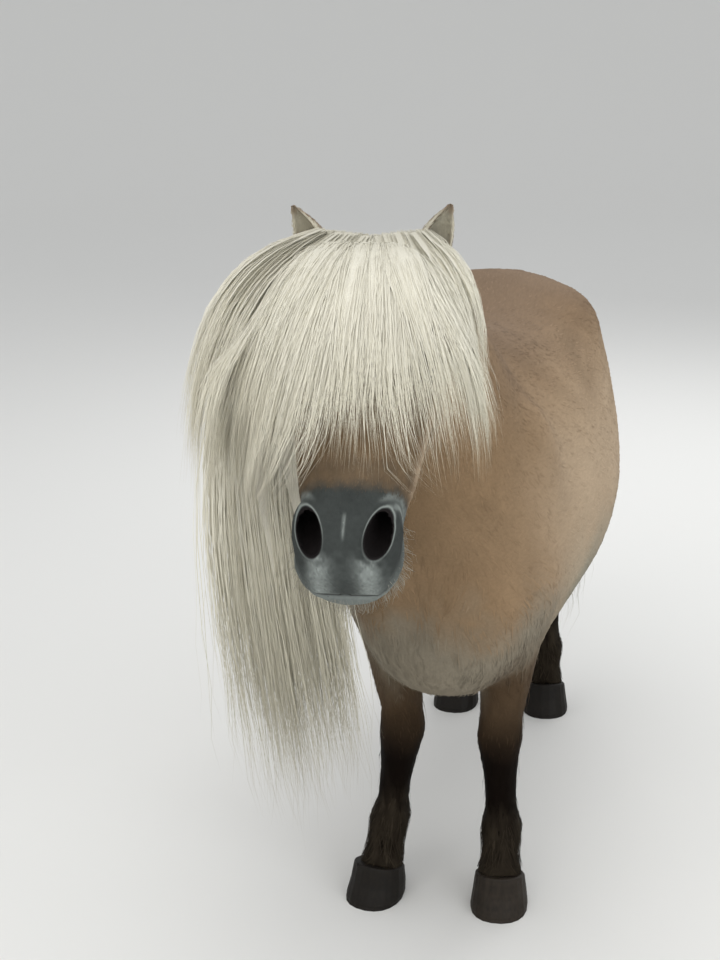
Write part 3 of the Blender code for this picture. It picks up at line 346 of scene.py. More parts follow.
def shape_of(mesh):
    """Where the vertices are and which way they face."""
    return numbers(mesh.vertices, "co"), numbers(mesh.vertices, "normal")


def reshape(mesh, points):
    mesh.vertices.foreach_set("co", points.ravel())
    mesh.update()


def edit_all(obj, *steps):
    """Runs mesh operators, each with its values, on every face of an object."""
    only(obj)
    bpy.ops.object.mode_set(mode="EDIT")
    bpy.ops.mesh.select_all(action="SELECT")
    for step, values in steps:
        step(**values)
    bpy.ops.object.mode_set(mode="OBJECT")


def merge_corners(obj):
    edit_all(obj, (bpy.ops.mesh.remove_doubles, {"threshold": SAME_PLACE}))


def copied(node, name):
    """A CAD node's mesh as an object of its own."""
    made = node.copy()
    made.data = node.data.copy()
    made.parent = None
    made.name = made.data.name = name
    bpy.context.scene.collection.objects.link(made)
    for key in list(made.keys()):
        del made[key]
    return made


def joined(objs):
    only(*objs)
    bpy.ops.object.join()
    return bpy.context.object


def eased(mesh, amount, rounds):
    """Evens the surface out without shrinking it; amount says how far at each point, from 0 to 1."""
    points = shape_of(mesh)[0]
    a, b = numbers(mesh.edges, "vertices", 2).astype(int).T
    count = len(points)
    links = np.bincount(a, minlength=count) + np.bincount(b, minlength=count)
    for turn in range(rounds * 2):
        pull = [np.bincount(a, points[b, k], count) + np.bincount(b, points[a, k], count) for k in range(3)]
        step = EASE_STEPS[turn % 2]
        points += (np.stack(pull, 1) / links[:, None] - points) * (amount * step)[:, None]
    reshape(mesh, points)


def skin_softness(points):
    """How far each place may be evened out: fully on the trunk, little on the muzzle and lids."""
    h = in_head(points)
    muzzle = fade(-70, -80, h[:, 2])
    eye = fade(15, 7, np.linalg.norm(np.abs(h) - np.abs(EYE_PLACE), axis=1))
    face = 0.55 - 0.40 * np.maximum(muzzle, eye)
    return 1 - head_share(points) * (1 - face)


def build_skin():
    """One closed skin over the whole flesh, finest on the head."""
    flesh = [node for name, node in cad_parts.items() if name.split("_")[0] in FLESH]
    skin = joined([copied(node, "flesh") for node in flesh])
    merge_corners(skin)
    skin.data.remesh_voxel_size = SKIN_GRAIN
    only(skin)
    bpy.ops.object.voxel_remesh()
    eased(skin.data, skin_softness(shape_of(skin.data)[0]), SKIN_ROUNDS)
    thin_behind_head(skin)
    refined(skin)
    inset(skin)
    sculpted(skin)
    smooth(skin)
    return skin


def thin_behind_head(skin):
    """Takes faces away from the body, where they aren't needed, and none from the head."""
    away = head_share(shape_of(skin.data)[0], 0.0, HEAD_BLEND)
    group = skin.vertex_groups.new(name="thin")
    for level in range(1, 11):
        chosen = np.nonzero(np.ceil(away * 10) == level)[0]
        group.add(chosen.tolist(), level / 10, "REPLACE")
    share = SKIN_FACES / (2 * len(skin.data.polygons))
    apply(skin, "DECIMATE", ratio=share, vertex_group="thin")
    skin.vertex_groups.clear()
    eased(skin.data, 0.6 * head_share(shape_of(skin.data)[0], 0.0, HEAD_BLEND), 3)


def fineness(points):
    """1 on the muzzle and round the eyes, 2 along the nostrils' rims, the mouth and the lids."""
    h = in_head(points)
    _, deep, down = head_parts(points)
    on_head = points[:, 1] < HEAD_EDGE
    reach = nostril_reach(h)[0]
    ring, _, near = eye_rings(h)
    muzzle = (down > 72) | ((ring < 3.2) & (near > 0.5))
    rim = (reach > 0.9) & (reach < 1.45)
    mouth = (np.abs(deep - MOUTH_LEVEL) < 2.5) & (down > 78)
    lids = (ring < 2.2) & (near > 0.5)
    return (on_head & muzzle).astype(float) + (on_head & (rim | mouth | lids))


def refined(skin):
    """Cuts the faces of the muzzle and lids finer, then rounds them."""
    for level in (1, 2):
        bm = bmesh.new()
        bm.from_mesh(skin.data)
        bm.faces.ensure_lookup_table()
        centres = np.array([face.calc_center_median() for face in bm.faces])
        chosen = np.nonzero(fineness(centres) >= level)[0]
        edges = list({edge for i in chosen for edge in bm.faces[i].edges})
        bmesh.ops.subdivide_edges(bm, edges=edges, cuts=1, use_grid_fill=True)
        bmesh.ops.triangulate(bm, faces=[face for face in bm.faces if len(face.verts) > 3])
        bm.to_mesh(skin.data)
        bm.free()
        eased(skin.data, 0.9 * (fineness(shape_of(skin.data)[0]) >= level), 3)


def inset(skin):
    """Draws the skin in by the depth of the coat that lies on it."""
    points, normals = shape_of(skin.data)
    depth = COAT_DEPTH + (FACE_DEPTH - COAT_DEPTH) * head_share(points, 0.04, -0.04)
    reshape(skin.data, points - normals * depth[:, None])


def ear_places(points):
    """For each point, its height up the nearer ear, and how far it belongs to it."""
    height = np.zeros(len(points))
    share = np.zeros(len(points))
    for foot, up in ear_posts():
        away = points - np.array(foot)
        along = away @ np.array(up)
        aside = np.linalg.norm(away - along[:, None] * np.array(up), axis=1)
        own = fade(0.050, 0.040, aside) * fade(0.006, 0.014, along)
        height = np.where(own > share, along / EAR_LENGTH, height)
        share = np.maximum(share, own)
    return height, share


def ear_posts():
    """Where each ear stands and which way it points."""
    for _, side in SIDES:
        foot = HEAD_MATRIX @ Vector((EAR_FOOT[0] * side, EAR_FOOT[1], EAR_FOOT[2]))
        yield foot, Vector((math.sin(EAR_SPLAY) * side, 0, math.cos(EAR_SPLAY)))


def behind_leg(y):
    """How far each point lies behind the middle of its leg, front or hind."""
    return y - 0.02 - 0.68 * (y > 0.2)


def tint(points, normals):
    """The colour of the coat at each point, painted light and shade included, the same for the skin and
    what grows on it.
    """
    x, y, z = points.T
    wander = 0.012 * ripple(points, 0.11, 3) + 0.005 * ripple(points, 0.035, 4)
    high = z + wander
    hind = fade(0.1, 0.2, y)
    limb = fade(0.46, 0.36, z + 2.0 * wander + 0.06 * fade(0.10, 0.05, np.abs(x)))
    limb = np.maximum(limb * (1 - hind), fade(0.56, 0.42, z + 2 * wander) * hind)
    barrel = fade(0.38, 0.41, z) * fade(-0.10, -0.02, y) * fade(0.30, 0.16, y)
    brisket = fade(0.365, 0.385, z) * fade(0.075, 0.055, np.abs(x)) * (1 - hind)
    bare = (1 - barrel) * (1 - brisket)
    tufts = fade(0.145, 0.10, z + 1.5 * wander + 0.25 * behind_leg(y))
    colour = layered(
        np.tile(CHESTNUT, (len(points), 1)),
        (FAWN, 0.75 * fade(0.84, 0.62, high) * fade(-0.30, 0.0, y)),
        (DUN, 0.8 * fade(0.74, 0.86, high) * fade(-0.40, -0.1, y)),
        (PALE_BELLY, 0.9 * fade(0.60, 0.43, z + 1.5 * wander) * fade(-0.16, 0.02, y)),
        (CHEST_GREY, 0.85 * fade(0.53, 0.46, z + 2 * wander) * fade(-0.02, -0.16, y)),
        (LEG_BROWN, limb * bare),
        (LEG_BLACK, fade(0.34, 0.23, high) * bare),
        (FETLOCK_GREY, 0.5 * tufts * (0.6 + 0.4 * ripple(points, 0.02, 14))),
    )
    # Painted shade: each crease's groove is darkened in the coat's colour
    for crease, groove, _ in crease_shares(points):
        colour = colour * (1 - crease.dark * groove)[:, None]
    return with_grain(with_ears(with_head(colour, points), points, normals), points)


def with_head(colour, points):
    """The head's own marks over those of the body, with painted shade in the nostrils and along the mouth,
    painted highlights on the nostrils' rims and between them, and the face's brown darkened as painted
    shadow of the forelock.
    """
    h = in_head(points)
    across, deep, down = head_parts(points)
    head = head_share(points, 0.02, -0.03)
    side = fade(-5, 5, deep + 0.25 * across - 4)
    brown = fade(60, 74, down + 3 * ripple(points, 0.03, 6)) * (1 - 0.6 * side)
    nose = head * fade(72, 77, down + 0.6 * ripple(points, 0.02, 7) + 0.10 * across)
    mottle = np.clip(0.5 + 0.9 * ripple(points, 0.009, 15) * ripple(points, 0.006, 16), 0, 1)
    upper = nose * fade(92.5, 97, down + 1.2 * ripple(points, 0.014, 8)) * fade(4.2, 2.5, deep)
    upper = upper * (0.06 + 0.94 * bell(across, 6.8, 3.0))
    cheek = nose * fade(9.5, 13.5, across) * fade(-3, 3, deep)
    reach, own = nostril_reach(h)
    rim = bell(reach, 1.11, 0.035) * (0.15 + 0.85 * fade(-0.8, -0.1, own[:, 2]))
    wing = bell(reach, 1.32, 0.16) * fade(0.3, 0.9, own[:, 2])
    seam_highlight = nose * bell(across, 0, 0.35) * fade(82, 84, down) * fade(91, 88, down)
    mouth = nose * bell(deep, MOUTH_LEVEL, 0.6)
    ring, _, near = eye_rings(h)
    return layered(
        colour,
        (CHESTNUT, head),
        # The face's own brown, darkened further as painted shadow of the forelock
        (FACE_BROWN, head * fade(0, 30, down) * fade(4, -8, deep)),
        (FAWN, 0.75 * head * side * fade(78, 60, down)),
        (NOSE_BROWN, 0.85 * head * brown),
        (SLATE, nose),
        (LIP_GREY, upper * (0.55 + 0.45 * mottle)),
        (LIP_GREY, 0.5 * cheek * (0.6 + 0.4 * mottle)),
        (LIP_DARK, nose * fade(MOUTH_LEVEL - 1.5, MOUTH_LEVEL, deep) * fade(88, 95, down)),
        # Painted highlights: pale on the upper rims and wings of the nostrils, and down the line between
        # them
        (RIM_HIGHLIGHT, nose * np.clip(0.9 * rim + 0.7 * wing, 0, 1)),
        (RIM_HIGHLIGHT, 0.7 * seam_highlight * fade(-6, -10, deep)),
        # Painted shade: near black along the mouth's line and inside each nostril
        (NOSTRIL_AND_MOUTH_SHADE, 0.8 * mouth * fade(76, 82, down)),
        (NOSTRIL_AND_MOUTH_SHADE, fade(1.10, 1.02, reach)),
        (LEG_BLACK, 0.9 * head * near * fade(1.75, 1.25, ring)),
    )


def with_ears(colour, points, normals):
    """The ears' own colours: tan behind, pale inside, dark at the rims and tips."""
    height, ear = ear_places(points)
    edge = fade(0.45, 0.15, np.abs(normals[:, 1])) * fade(0.2, 0.5, height)
    own = layered(
        np.tile(EAR_TAN, (len(points), 1)),
        (EAR_PALE, fade(0.1, 0.5, -normals[:, 1])),
        (EAR_RIM, 0.8 * np.maximum(edge, fade(0.80, 0.97, height))),
    )
    return mixed(colour, own, ear)


def with_grain(colour, points):
    grain = 1 + 0.05 * ripple(points, 0.05, 11) + 0.03 * ripple(points, 0.012, 12)
    return np.clip(colour * grain[:, None], 0, 1)


def nostril_reach(h):
    """How far each point of the head lies from a nostril's middle, 1 at its edge, and its own axes."""
    lean, swing = NOSTRIL_LEAN
    away = h - np.array(NOSTRIL_PLACE) * np.where(h[:, :1] < 0, (-1, 1, 1), (1, 1, 1))
    away[:, 0] *= np.sign(h[:, 0])
    back = (Matrix.Rotation(lean, 3, "X") @ Matrix.Rotation(swing, 3, "Y")).transposed()
    own = away @ np.array(back).T / np.array(NOSTRIL_SIZE)
    return np.linalg.norm(own, axis=1), own


def near_line(points, line):
    """How far each point lies from a line through several places, and the share of the line it is at."""
    best = np.full(len(points), np.inf)
    at = np.zeros(len(points))
    line = np.array(line)
    for number, (a, b) in enumerate(zip(line, line[1:])):
        way = b - a
        t = np.clip((points - a) @ way / (way @ way), 0, 1)
        gap = np.linalg.norm(points - a - t[:, None] * way, axis=1)
        nearer = gap < best
        best[nearer] = gap[nearer]
        at[nearer] = ((number + t) / (len(line) - 1))[nearer]
    return best, at


def crease_shares(points):
    """How deep each crease is at each point, from 0 to 1, fading out at its ends, and its swelling."""
    for crease in CREASES:
        gap, at = near_line(points, crease.line)
        ends = fade(0, 0.25, at) * fade(1, 0.75, at)
        gap = gap * (1 + 0.12 * ripple(points, 0.06, 31))
        groove = bell(gap, 0, crease.width) * ends
        beside = bell(gap, 2.2 * crease.width, 1.2 * crease.width) * ends
        yield crease, groove, beside


def eye_rings(h):
    """The distance from an eye's middle over the face, 1 at the edge of its lids, and the height there."""
    along = (h[:, 2] - EYE_PLACE[2]) / EYE_OPENING[1]
    height = (h[:, 1] - EYE_PLACE[1]) / EYE_OPENING[0]
    near = fade(9, 4, np.abs(np.abs(h[:, 0]) - EYE_PLACE[0]))
    return np.hypot(along, height), height, near


def sculpted(skin):
    """Draws rims, lips, lids and folds into the skin along its normals."""
    points, normals = shape_of(skin.data)
    h = in_head(points)
    across, deep, down = head_parts(points)
    on_head = head_share(points)
    reach, own = nostril_reach(h)
    rim = bell(reach, 1.12, 0.12) * (0.4 + 0.6 * fade(0.9, -0.6, own[:, 2]))
    wing = bell(reach, 1.35, 0.16) * fade(0.2, 0.9, own[:, 2])
    move = on_head * (0.0012 * rim - 0.0008 * wing)
    muzzle = on_head * fade(76, 86, down)
    lip = deep - MOUTH_LEVEL
    move += muzzle * 0.0013 * (bell(lip, -2.2, 1.3) + bell(lip, 2.0, 1.1))
    move -= muzzle * 0.0010 * bell(across, 0, 0.8) * fade(2, -3, deep)
    wrinkles = np.sin(h[:, 0] * 1.7 + 1.5 * np.sin(deep)) * bell(lip, 0, 3.5)
    corner = fade(6, 10, across) * fade(-4, -1.5, lip) * fade(0, -0.6, lip)
    move += muzzle * (0.00012 * wrinkles + 0.0014 * corner)
    ring, height, near = eye_rings(h)
    lids = bell(ring, 1.25, 0.22) * (0.8 + 0.5 * fade(0, -1, height))
    fold = bell(ring, 1.95, 0.16) * fade(0.2, -0.6, height)
    brow = bell(ring, 2.6, 0.5) * fade(0, -1, height)
    under = bell(ring, 1.8, 0.15) * fade(0, 0.8, height)
    move += on_head * near * (0.0010 * lids - 0.0012 * fold + 0.0012 * brow - 0.0006 * under)
    vein = bell(deep - 1.5 - 0.10 * (down - 40), 0, 1.2) * fade(36, 46, down)
    move += on_head * 0.0010 * vein * fade(74, 62, down)
    for crease, groove, beside in crease_shares(points):
        move += crease.swell * beside - crease.depth * groove
    reshape(skin.data, points + normals * move[:, None])


def paint(mesh, colours):
    """Stores a colour for every vertex."""
    layer = mesh.color_attributes.new("markings_and_painted_light", "FLOAT_COLOR", "POINT")
    full = np.ones((len(colours), 4), np.float32)
    full[:, :3] = colours
    layer.data.foreach_set("color", full.ravel())


def finished(obj, finish):
    """Gives an object one finish and takes any other off it."""
    obj.data.materials.clear()
    obj.data.materials.append(finish)


class Surface:
    """The skin as hair meets it: nearest places, and even random roots with their place on an unwrap."""

    def __init__(self, skin):
        bm = bmesh.new()
        bm.from_mesh(skin.data)
        self.tree = BVHTree.FromBMesh(bm)
        bm.free()
        self.posts = list(ear_posts())

    def measure(self, skin):
        """Keeps the corners, normals, areas and unwrapped corners of a triangulated copy."""
        only(skin)
        bpy.ops.object.duplicate()
        copy = bpy.context.object
        unwrap = {"angle_limit": UNWRAP_ANGLE, "island_margin": 0.002}
        edit_all(copy, (bpy.ops.mesh.quads_convert_to_tris, {}), (bpy.ops.uv.smart_project, unwrap))
        mesh = copy.data
        corners = numbers(mesh.loops, "vertex_index", 1).astype(int).reshape(-1, 3)
        points, normals = shape_of(mesh)
        self.corners = points[corners]
        self.normals = normals[corners]
        self.unwrap = numbers(mesh.uv_layers.active.data, "uv", 2).reshape(-1, 3, 2)
        self.areas = numbers(mesh.polygons, "area", 1)
        self.whole = BVHTree.FromPolygons(points.tolist(), corners.tolist())
        bpy.data.objects.remove(copy)

    def scatter(self, count, weight, seed):
        """Random roots: places, normals and unwrapped places; weight says how dense each place is."""
        rng = np.random.default_rng(seed)
        share = self.areas * weight(self.corners.mean(1))
        face = rng.choice(len(share), count, p=share / share.sum())
        u, v = rng.random((2, count, 1))
        over = u + v > 1
        u, v = np.where(over, 1 - u, u), np.where(over, 1 - v, v)
        parts = (1 - u - v, u, v)

        def at(corners):
            return sum(part * corners[face, i] for i, part in enumerate(parts))

        return at(self.corners), unit(at(self.normals)), at(self.unwrap)

    def unwrapped(self, points):
        """The unwrapped place nearest to each point."""
        faces = [self.whole.find_nearest(p)[2] for p in points]
        return self.unwrap[faces].mean(1)

    def clear(self, point, lift):
        """The point moved off the skin until it stands at least lift above it, and the way outwards."""
        spot, normal, _, _ = self.tree.find_nearest(point)
        height = (point - spot).dot(normal)
        if height < lift:
            point = point + normal * (lift - height)
        for foot, up in self.posts:
            reach = (point - foot).dot(up)
            if EAR_HIDDEN * EAR_LENGTH < reach < EAR_LENGTH:
                away = point - foot - up * reach
                if away.length < EAR_ROOM:
                    point = point + away.normalized() * (EAR_ROOM - away.length)
        return point, normal, height

    def settle(self, points, lifts):
        """Points brought to their own height over the skin."""
        placed = np.empty_like(points)
        for i, (point, lift) in enumerate(zip(points, lifts)):
            spot, normal, _, _ = self.whole.find_nearest(point)
            placed[i] = spot + normal * lift
        return placed


def corner_normals(points, faces, soft, softness):
    """Each corner's normal, leaning from its face's own towards soft, but never far from its own."""
    a, b, c = (points[faces[:, i]] for i in range(3))
    own = unit(np.cross(b - a, c - a))[:, None]
    facing = soft[faces] * softness + own * (1 - softness)
    short = FACING_LEAST - (facing * own).sum(-1, keepdims=True)
    return unit(facing + own * np.maximum(short, 0)).reshape(-1, 3)


def piece(name, points, faces, finish, slot, patches, soft, softness, **values):
    """A mesh piece from arrays, with its finish, a map for baking, and soft normals."""
    mesh = bpy.data.meshes.new(name)
    mesh.vertices.add(len(points))
    mesh.vertices.foreach_set("co", np.asarray(points, np.float32).ravel())
    mesh.loops.add(faces.size)
    mesh.loops.foreach_set("vertex_index", faces.ravel().astype(np.int32))
    mesh.polygons.add(len(faces))
    mesh.polygons.foreach_set("loop_start", np.arange(0, faces.size, faces.shape[1], dtype=np.int32))
    mesh.update(calc_edges=True)
    layer = mesh.uv_layers.new(name="OFBake")
    layer.data.foreach_set("uv", np.asarray(patches[faces.ravel()], np.float32).ravel())
    for label, amounts in values.items():
        if label == "markings_and_painted_light":
            paint(mesh, amounts)
        else:
            stored = mesh.attributes.new(label, "FLOAT", "POINT")
            stored.data.foreach_set("value", np.asarray(amounts, np.float32))
    mesh.shade_smooth()
    mesh.normals_split_custom_set(corner_normals(points, faces, soft, softness))
    obj = bpy.data.objects.new(name, mesh)
    bpy.context.scene.collection.objects.link(obj)
    mesh.materials.append(finish)
    wear(obj, slot)
    return obj


def blade_faces(count, rings):
    """The triangles of many blades, each of three-sided rings drawn to one tip and closed at the root."""
    one = []
    for k in range(rings - 1):
        for i in range(3):
            j = (i + 1) % 3
            a, b, c, d = 3 * k + i, 3 * k + j, 3 * k + 3 + j, 3 * k + 3 + i
            one += [(a, b, c), (a, c, d)]
    last, tip = 3 * (rings - 1), 3 * rings
    one += [(last + i, last + (i + 1) % 3, tip) for i in range(3)]
    one.append((2, 1, 0))
    step = 3 * rings + 1
    return (np.array(one)[None] + (np.arange(count) * step)[:, None, None]).reshape(-1, 3)


def blades(centres, outs, widths, thickness, soft):
    """Points of many blades, and the way that the coat or lock faces at each of them.

    Centres, outs and soft are strands by stations, the last the tip."""
    along = unit(np.gradient(centres, axis=1))
    across = unit(np.cross(along, outs))
    out = np.cross(across, along)
    half = widths[..., None] / 2
    left, right = centres - across * half, centres + across * half
    ridge = centres + out * half * 2 * thickness

    def in_rows(three, tips):
        rings = np.stack(three, 2)[:, :-1]
        count, stations = tips.shape[0], three[0].shape[1]
        rings = rings.reshape(count, (stations - 1) * 3, 3)
        return np.concatenate([rings, tips], 1).reshape(-1, 3)

    return in_rows((right, left, ridge), centres[:, -1:]), in_rows((soft,) * 3, soft[:, -1:])


def blade_values(per_station):
    """Values of strands by stations, spread over the blades' points."""
    rings = np.repeat(per_station[:, :-1], 3, axis=1)
    return np.concatenate([rings, per_station[:, -1:]], 1).ravel()


def blade_patches(roots, stations):
    """Each blade's own small patch of the map, at its root's unwrapped place."""
    share = np.linspace(0, BAKE_PATCH, stations)
    corner = np.array((0.0, 0.5, 1.0)) * BAKE_PATCH
    rings = np.stack(np.meshgrid(share[:-1], corner, indexing="ij"), -1).reshape(-1, 2)
    one = np.concatenate([rings, [[share[-1], corner[1]]]])
    return (roots[:, None] + one[None]).reshape(-1, 2)


def fall(surface, root, heading, length_wanted, droop, lift, fence=None, drift=Vector((0, 0, 0))):
    """The path of a lock: it leaves the root along its heading, bends down and slides over the skin."""
    points, outs = [root], [surface.clear(root, -1)[1]]
    way = heading.normalized()
    length = 0.0
    while length < length_wanted:
        way = (way + (DOWN * droop + drift) * FALL_STEP).normalized()
        length += FALL_STEP
        rise = lift * min(length / FALL_RISE, 1)
        point, normal, height = surface.clear(points[-1] + way * FALL_STEP, rise)
        if height < rise and way.dot(normal) < 0:
            way = (way - normal * way.dot(normal)).normalized()
        if fence:
            beyond = (point - fence[0]).dot(fence[1]) + FENCE_ROOM
            if beyond > 0:
                point = point - fence[1] * beyond
                way = (way - fence[1] * max(way.dot(fence[1]), 0)).normalized()
        if point.z < HAIR_FLOOR:
            break
        near = max(0.0, 1 - max(height, 0) / FALL_NEAR)
        outs.append((outs[-1] * (1 - 0.5 * near) + normal * 0.5 * near).normalized())
        points.append(point)
    points, outs = np.array(points), np.array(outs)
    for _ in range(FALL_ROUNDS):
        for rows in (points, outs):
            rows[1:-1] = (rows[:-2] + 2 * rows[1:-1] + rows[2:]) / 4
    return points, unit(outs)


def spread(count, rng, jitter=0.3):
    """Evenly placed shares from 0 to 1, each moved a little."""
    return [min(max((i + 0.5 + rng.uniform(-jitter, jitter)) / count, 0), 1) for i in range(count)]


def locks_of(rows, rng):
    """Every lock of some rows: its row's number, its row and its own place along it, from 0 to 1."""
    for number, row in enumerate(rows):
        for share in spread(row.count, rng):
            yield number, row, share


def forelock_guides(surface, rng):
    """From between the ears, fanned over the forehead, both eyes and both cheeks."""
    fence = (PARTING_POINT + SHIFT, -PARTING_NORMAL)
    made = []
    across, reach, height = FORELOCK_ROOT
    for number, row, share in locks_of(FORELOCK_ROWS, rng):
        u = 2 * share**1.2 - 1
        turn = (0.8 * u + 0.2 * u**3) * FORELOCK_FAN
        crown = FORELOCK_CROWN * (0.70 + 0.30 * abs(u))
        root = HEAD_MATRIX @ Vector((u * across, reach + number * FORELOCK_BACK - crown, height + crown))
        heading = HEAD_MATRIX.to_3x3() @ Vector((math.sin(turn), -row.rise, -math.cos(turn)))
        droop = row.droop * (1 + FORELOCK_SWEEP[u > 0] * u) * rng.uniform(0.92, 1.10)
        shape = 1 - FORELOCK_SHORTER * max(u, 0) + FORELOCK_RIGHT * max(-u - 0.4, 0)
        shape += FORELOCK_LONGER * (1 - abs(u))
        length = row.length * shape * rng.uniform(0.80, 1.08)
        lift = row.lift + FORELOCK_FILL * math.sin(math.pi * max(-u, 0)) + rng.uniform(*LIFT_CHANGE)
        points, outs = fall(surface, root, heading, length, droop, lift, fence)
        h = in_head(points)
        kept = (h[:, 2] > -FORELOCK_END - rng.uniform(-4, 4)) | (np.abs(h[:, 0]) > HEAD_HALF_WIDTH)
        width = row.width * (1 + 0.5 * max(-u, 0)) * rng.uniform(*WIDTH_CHANGE)
        made.append(Guide(points[kept], outs[kept], width, row.depth))
    return made


def crest_point(share):
    """A point just under the crest of the neck, from behind the ears (0) to the withers (1)."""
    at = (1 - share) * (len(CREST) - 1)
    i = min(int(at), len(CREST) - 2)
    a, b = Vector(CREST[i]), Vector(CREST[i + 1])
    place = a.lerp(b, at - i) + Vector((CREST_SIDE, 0, -CREST_DEPTH))
    return place * PERCENT_OF_WITHERS + SHIFT


def mane_front_guides(surface, rng, fence):
    """The locks by the throat, seen from the front."""
    made = []
    row = MANE_FRONT
    first, last = MANE_FRONT_DROOPS
    for share in spread(row.count, rng):
        droop = first + (last - first) * share**0.6
        length = row.length * (MANE_FRONT_INNER + (1 - MANE_FRONT_INNER) * share) * rng.uniform(0.86, 1.06)
        root = crest_point(MANE_FROM + 0.05 * share)
        heading = Vector((-1, -0.35, row.rise))
        drift = Vector((MANE_GATHER * droop / row.droop, 0, 0))
        points, _ = fall(surface, root, heading, length, droop, row.lift, fence, drift)
        outs = np.tile(unit(np.array(MANE_FRONT_FACING)), (len(points), 1))
        made.append(Guide(points, outs, row.width, row.depth))
    return made


def mane_guides(surface, rng):
    """From the whole crest, thrown over to the pony's right."""
    fence = (PARTING_POINT + SHIFT, PARTING_NORMAL)
    made = mane_front_guides(surface, rng, fence)
    for _, row, share in locks_of(MANE_ROWS, rng):
        root = crest_point(MANE_FROM + (MANE_TO - MANE_FROM) * share)
        heading = Vector((-1, -0.55 * (1 - share) + 0.25 * share, row.rise))
        length = row.length * (1 - MANE_SHORTER_BEHIND * share**1.5) * rng.uniform(0.86, 1.08)
        lift = row.lift * (1 - 0.5 * share) + rng.uniform(*LIFT_CHANGE)
        drift = Vector((MANE_GATHER * (1 - share), 0, 0))
        droop = row.droop * rng.uniform(0.9, 1.15)
        path = fall(surface, root, heading, length, droop, lift, fence, drift)
        made.append(Guide(*path, row.width * rng.uniform(*WIDTH_CHANGE), row.depth))
    return made


def tail_guides(surface, rng):
    """From the dock, round all its sides, straight down behind the hocks."""
    made = []
    for _, row, share in locks_of(TAIL_ROWS, rng):
        turn = (2 * share - 1) * row.rise
        root = Vector((math.sin(turn) * 0.014, 0, 0)) + Vector(TAIL_ROOT) + SHIFT
        heading = Vector((math.sin(turn) * 0.8, math.cos(turn) * 0.9 + 0.3, 0.15))
        length = row.length * rng.uniform(0.88, 1.06)
        lift = row.lift + rng.uniform(0, 0.012)
        path = fall(surface, root, heading, length, row.droop, lift)
        made.append(Guide(*path, row.width * rng.uniform(*WIDTH_CHANGE), row.depth))
    return made


def along_path(rows, shares):
    """Rows of a guide read at shares of its length."""
    at = shares * (len(rows) - 1)
    i = np.minimum(at.astype(int), len(rows) - 2)
    t = (at - i)[..., None]
    return rows[i] * (1 - t) + rows[i + 1] * t


def lock_strands(guide, kind, count, rng):
    """The strands of one lock: centres, outs, widths and tones, strands by stations."""
    share = 1 - (1 - np.linspace(0, 1, kind.stations)[None]) ** 1.25
    reach = rng.uniform(kind.shortest, 1.0, (count, 1)) ** 0.5
    along = share * reach
    centres = along_path(guide.points, along)
    outs = unit(along_path(guide.outs, along))
    across = unit(np.cross(unit(np.gradient(centres, axis=1)), outs))
    aside = rng.uniform(-1, 1, (count, 1))
    proud = rng.uniform(-0.4, 1, (count, 1))
    fan = (0.55 + 0.45 * fade(0, 0.25, along)) * (1 - kind.clump * fade(0.35, 1.0, along))
    length = np.linalg.norm(np.diff(guide.points, axis=0), axis=1).sum()
    phase = rng.uniform(0, 2 * math.pi) + rng.normal(0, 0.5, (count, 1))
    turns = 2 * math.pi * along * length / (kind.wave_length * rng.uniform(0.85, 1.2))
    wave = kind.wave * (fade(0.05, 0.4, along) + 2.2 * fade(0.6, 1.0, share))
    wander = kind.stray * np.clip(rng.normal(0, 1, (count, 1)), -1.8, 1.8) * along**2
    loose = rng.random((count, 1)) < 0.10
    wander = wander * np.where(loose, 1.6, 1.0)
    sway = aside * guide.width / 2 * fan + wave * np.sin(turns + phase) + wander * 0.8
    lift = proud * guide.depth * fan + wave * 0.6 * np.cos(turns + phase) + np.abs(wander) * 0.15
    centres = centres + across * sway[..., None] + outs * lift[..., None]
    taper = (0.6 + 0.4 * fade(0, 0.1, share)) * (1 - 0.85 * fade(0.55, 1.0, share))
    widths = kind.width * rng.uniform(0.7, 1.35, (count, 1)) * taper
    twist = rng.normal(0, 0.5, (count, 1, 1))
    soft, outs = unit(outs + np.array(kind.light)), unit(outs + across * twist)
    tone = np.clip(rng.normal(0.5, 0.16) + rng.normal(0, 0.16, (count, 1)), 0, 1) + 0 * share
    return centres, outs, soft, widths, tone, np.broadcast_to(along, tone.shape)


def long_hair(name, surface, guides, kind, finish, pieces, triangles):
    """Long hair as many fine strands in locks, in the given number of pieces of about the given number of
    triangles each.
    """
    rng = np.random.default_rng(STRAND_SEED)
    per_strand = 6 * (kind.stations - 2) + 4
    wanted = int(triangles * pieces / per_strand)
    sizes = np.array([g.width for g in guides])
    counts = np.maximum((wanted * sizes / sizes.sum()).astype(int), 1)
    made = [lock_strands(g, kind, n, rng) for g, n in zip(guides, counts)]
    order = rng.permutation(sum(counts))
    strands = [np.concatenate(parts)[order] for parts in zip(*made)]
    for number, chosen in enumerate(np.array_split(np.arange(len(order)), pieces)):
        centres, outs, soft, widths, tone, along = (rows[chosen] for rows in strands)
        points, facing = blades(centres, outs, widths, STRAND_THICKNESS, soft)
        label = name if pieces == 1 else f"{name}_{'abc'[number]}"
        faces = blade_faces(len(chosen), kind.stations - 1)
        patches = blade_patches(surface.unwrapped(centres[:, 0]), kind.stations)
        values = {"tone": blade_values(tone), "along": blade_values(along)}
        yield piece(label, points, faces, finish, "hair", patches, facing, STRAND_SOFTNESS, **values)


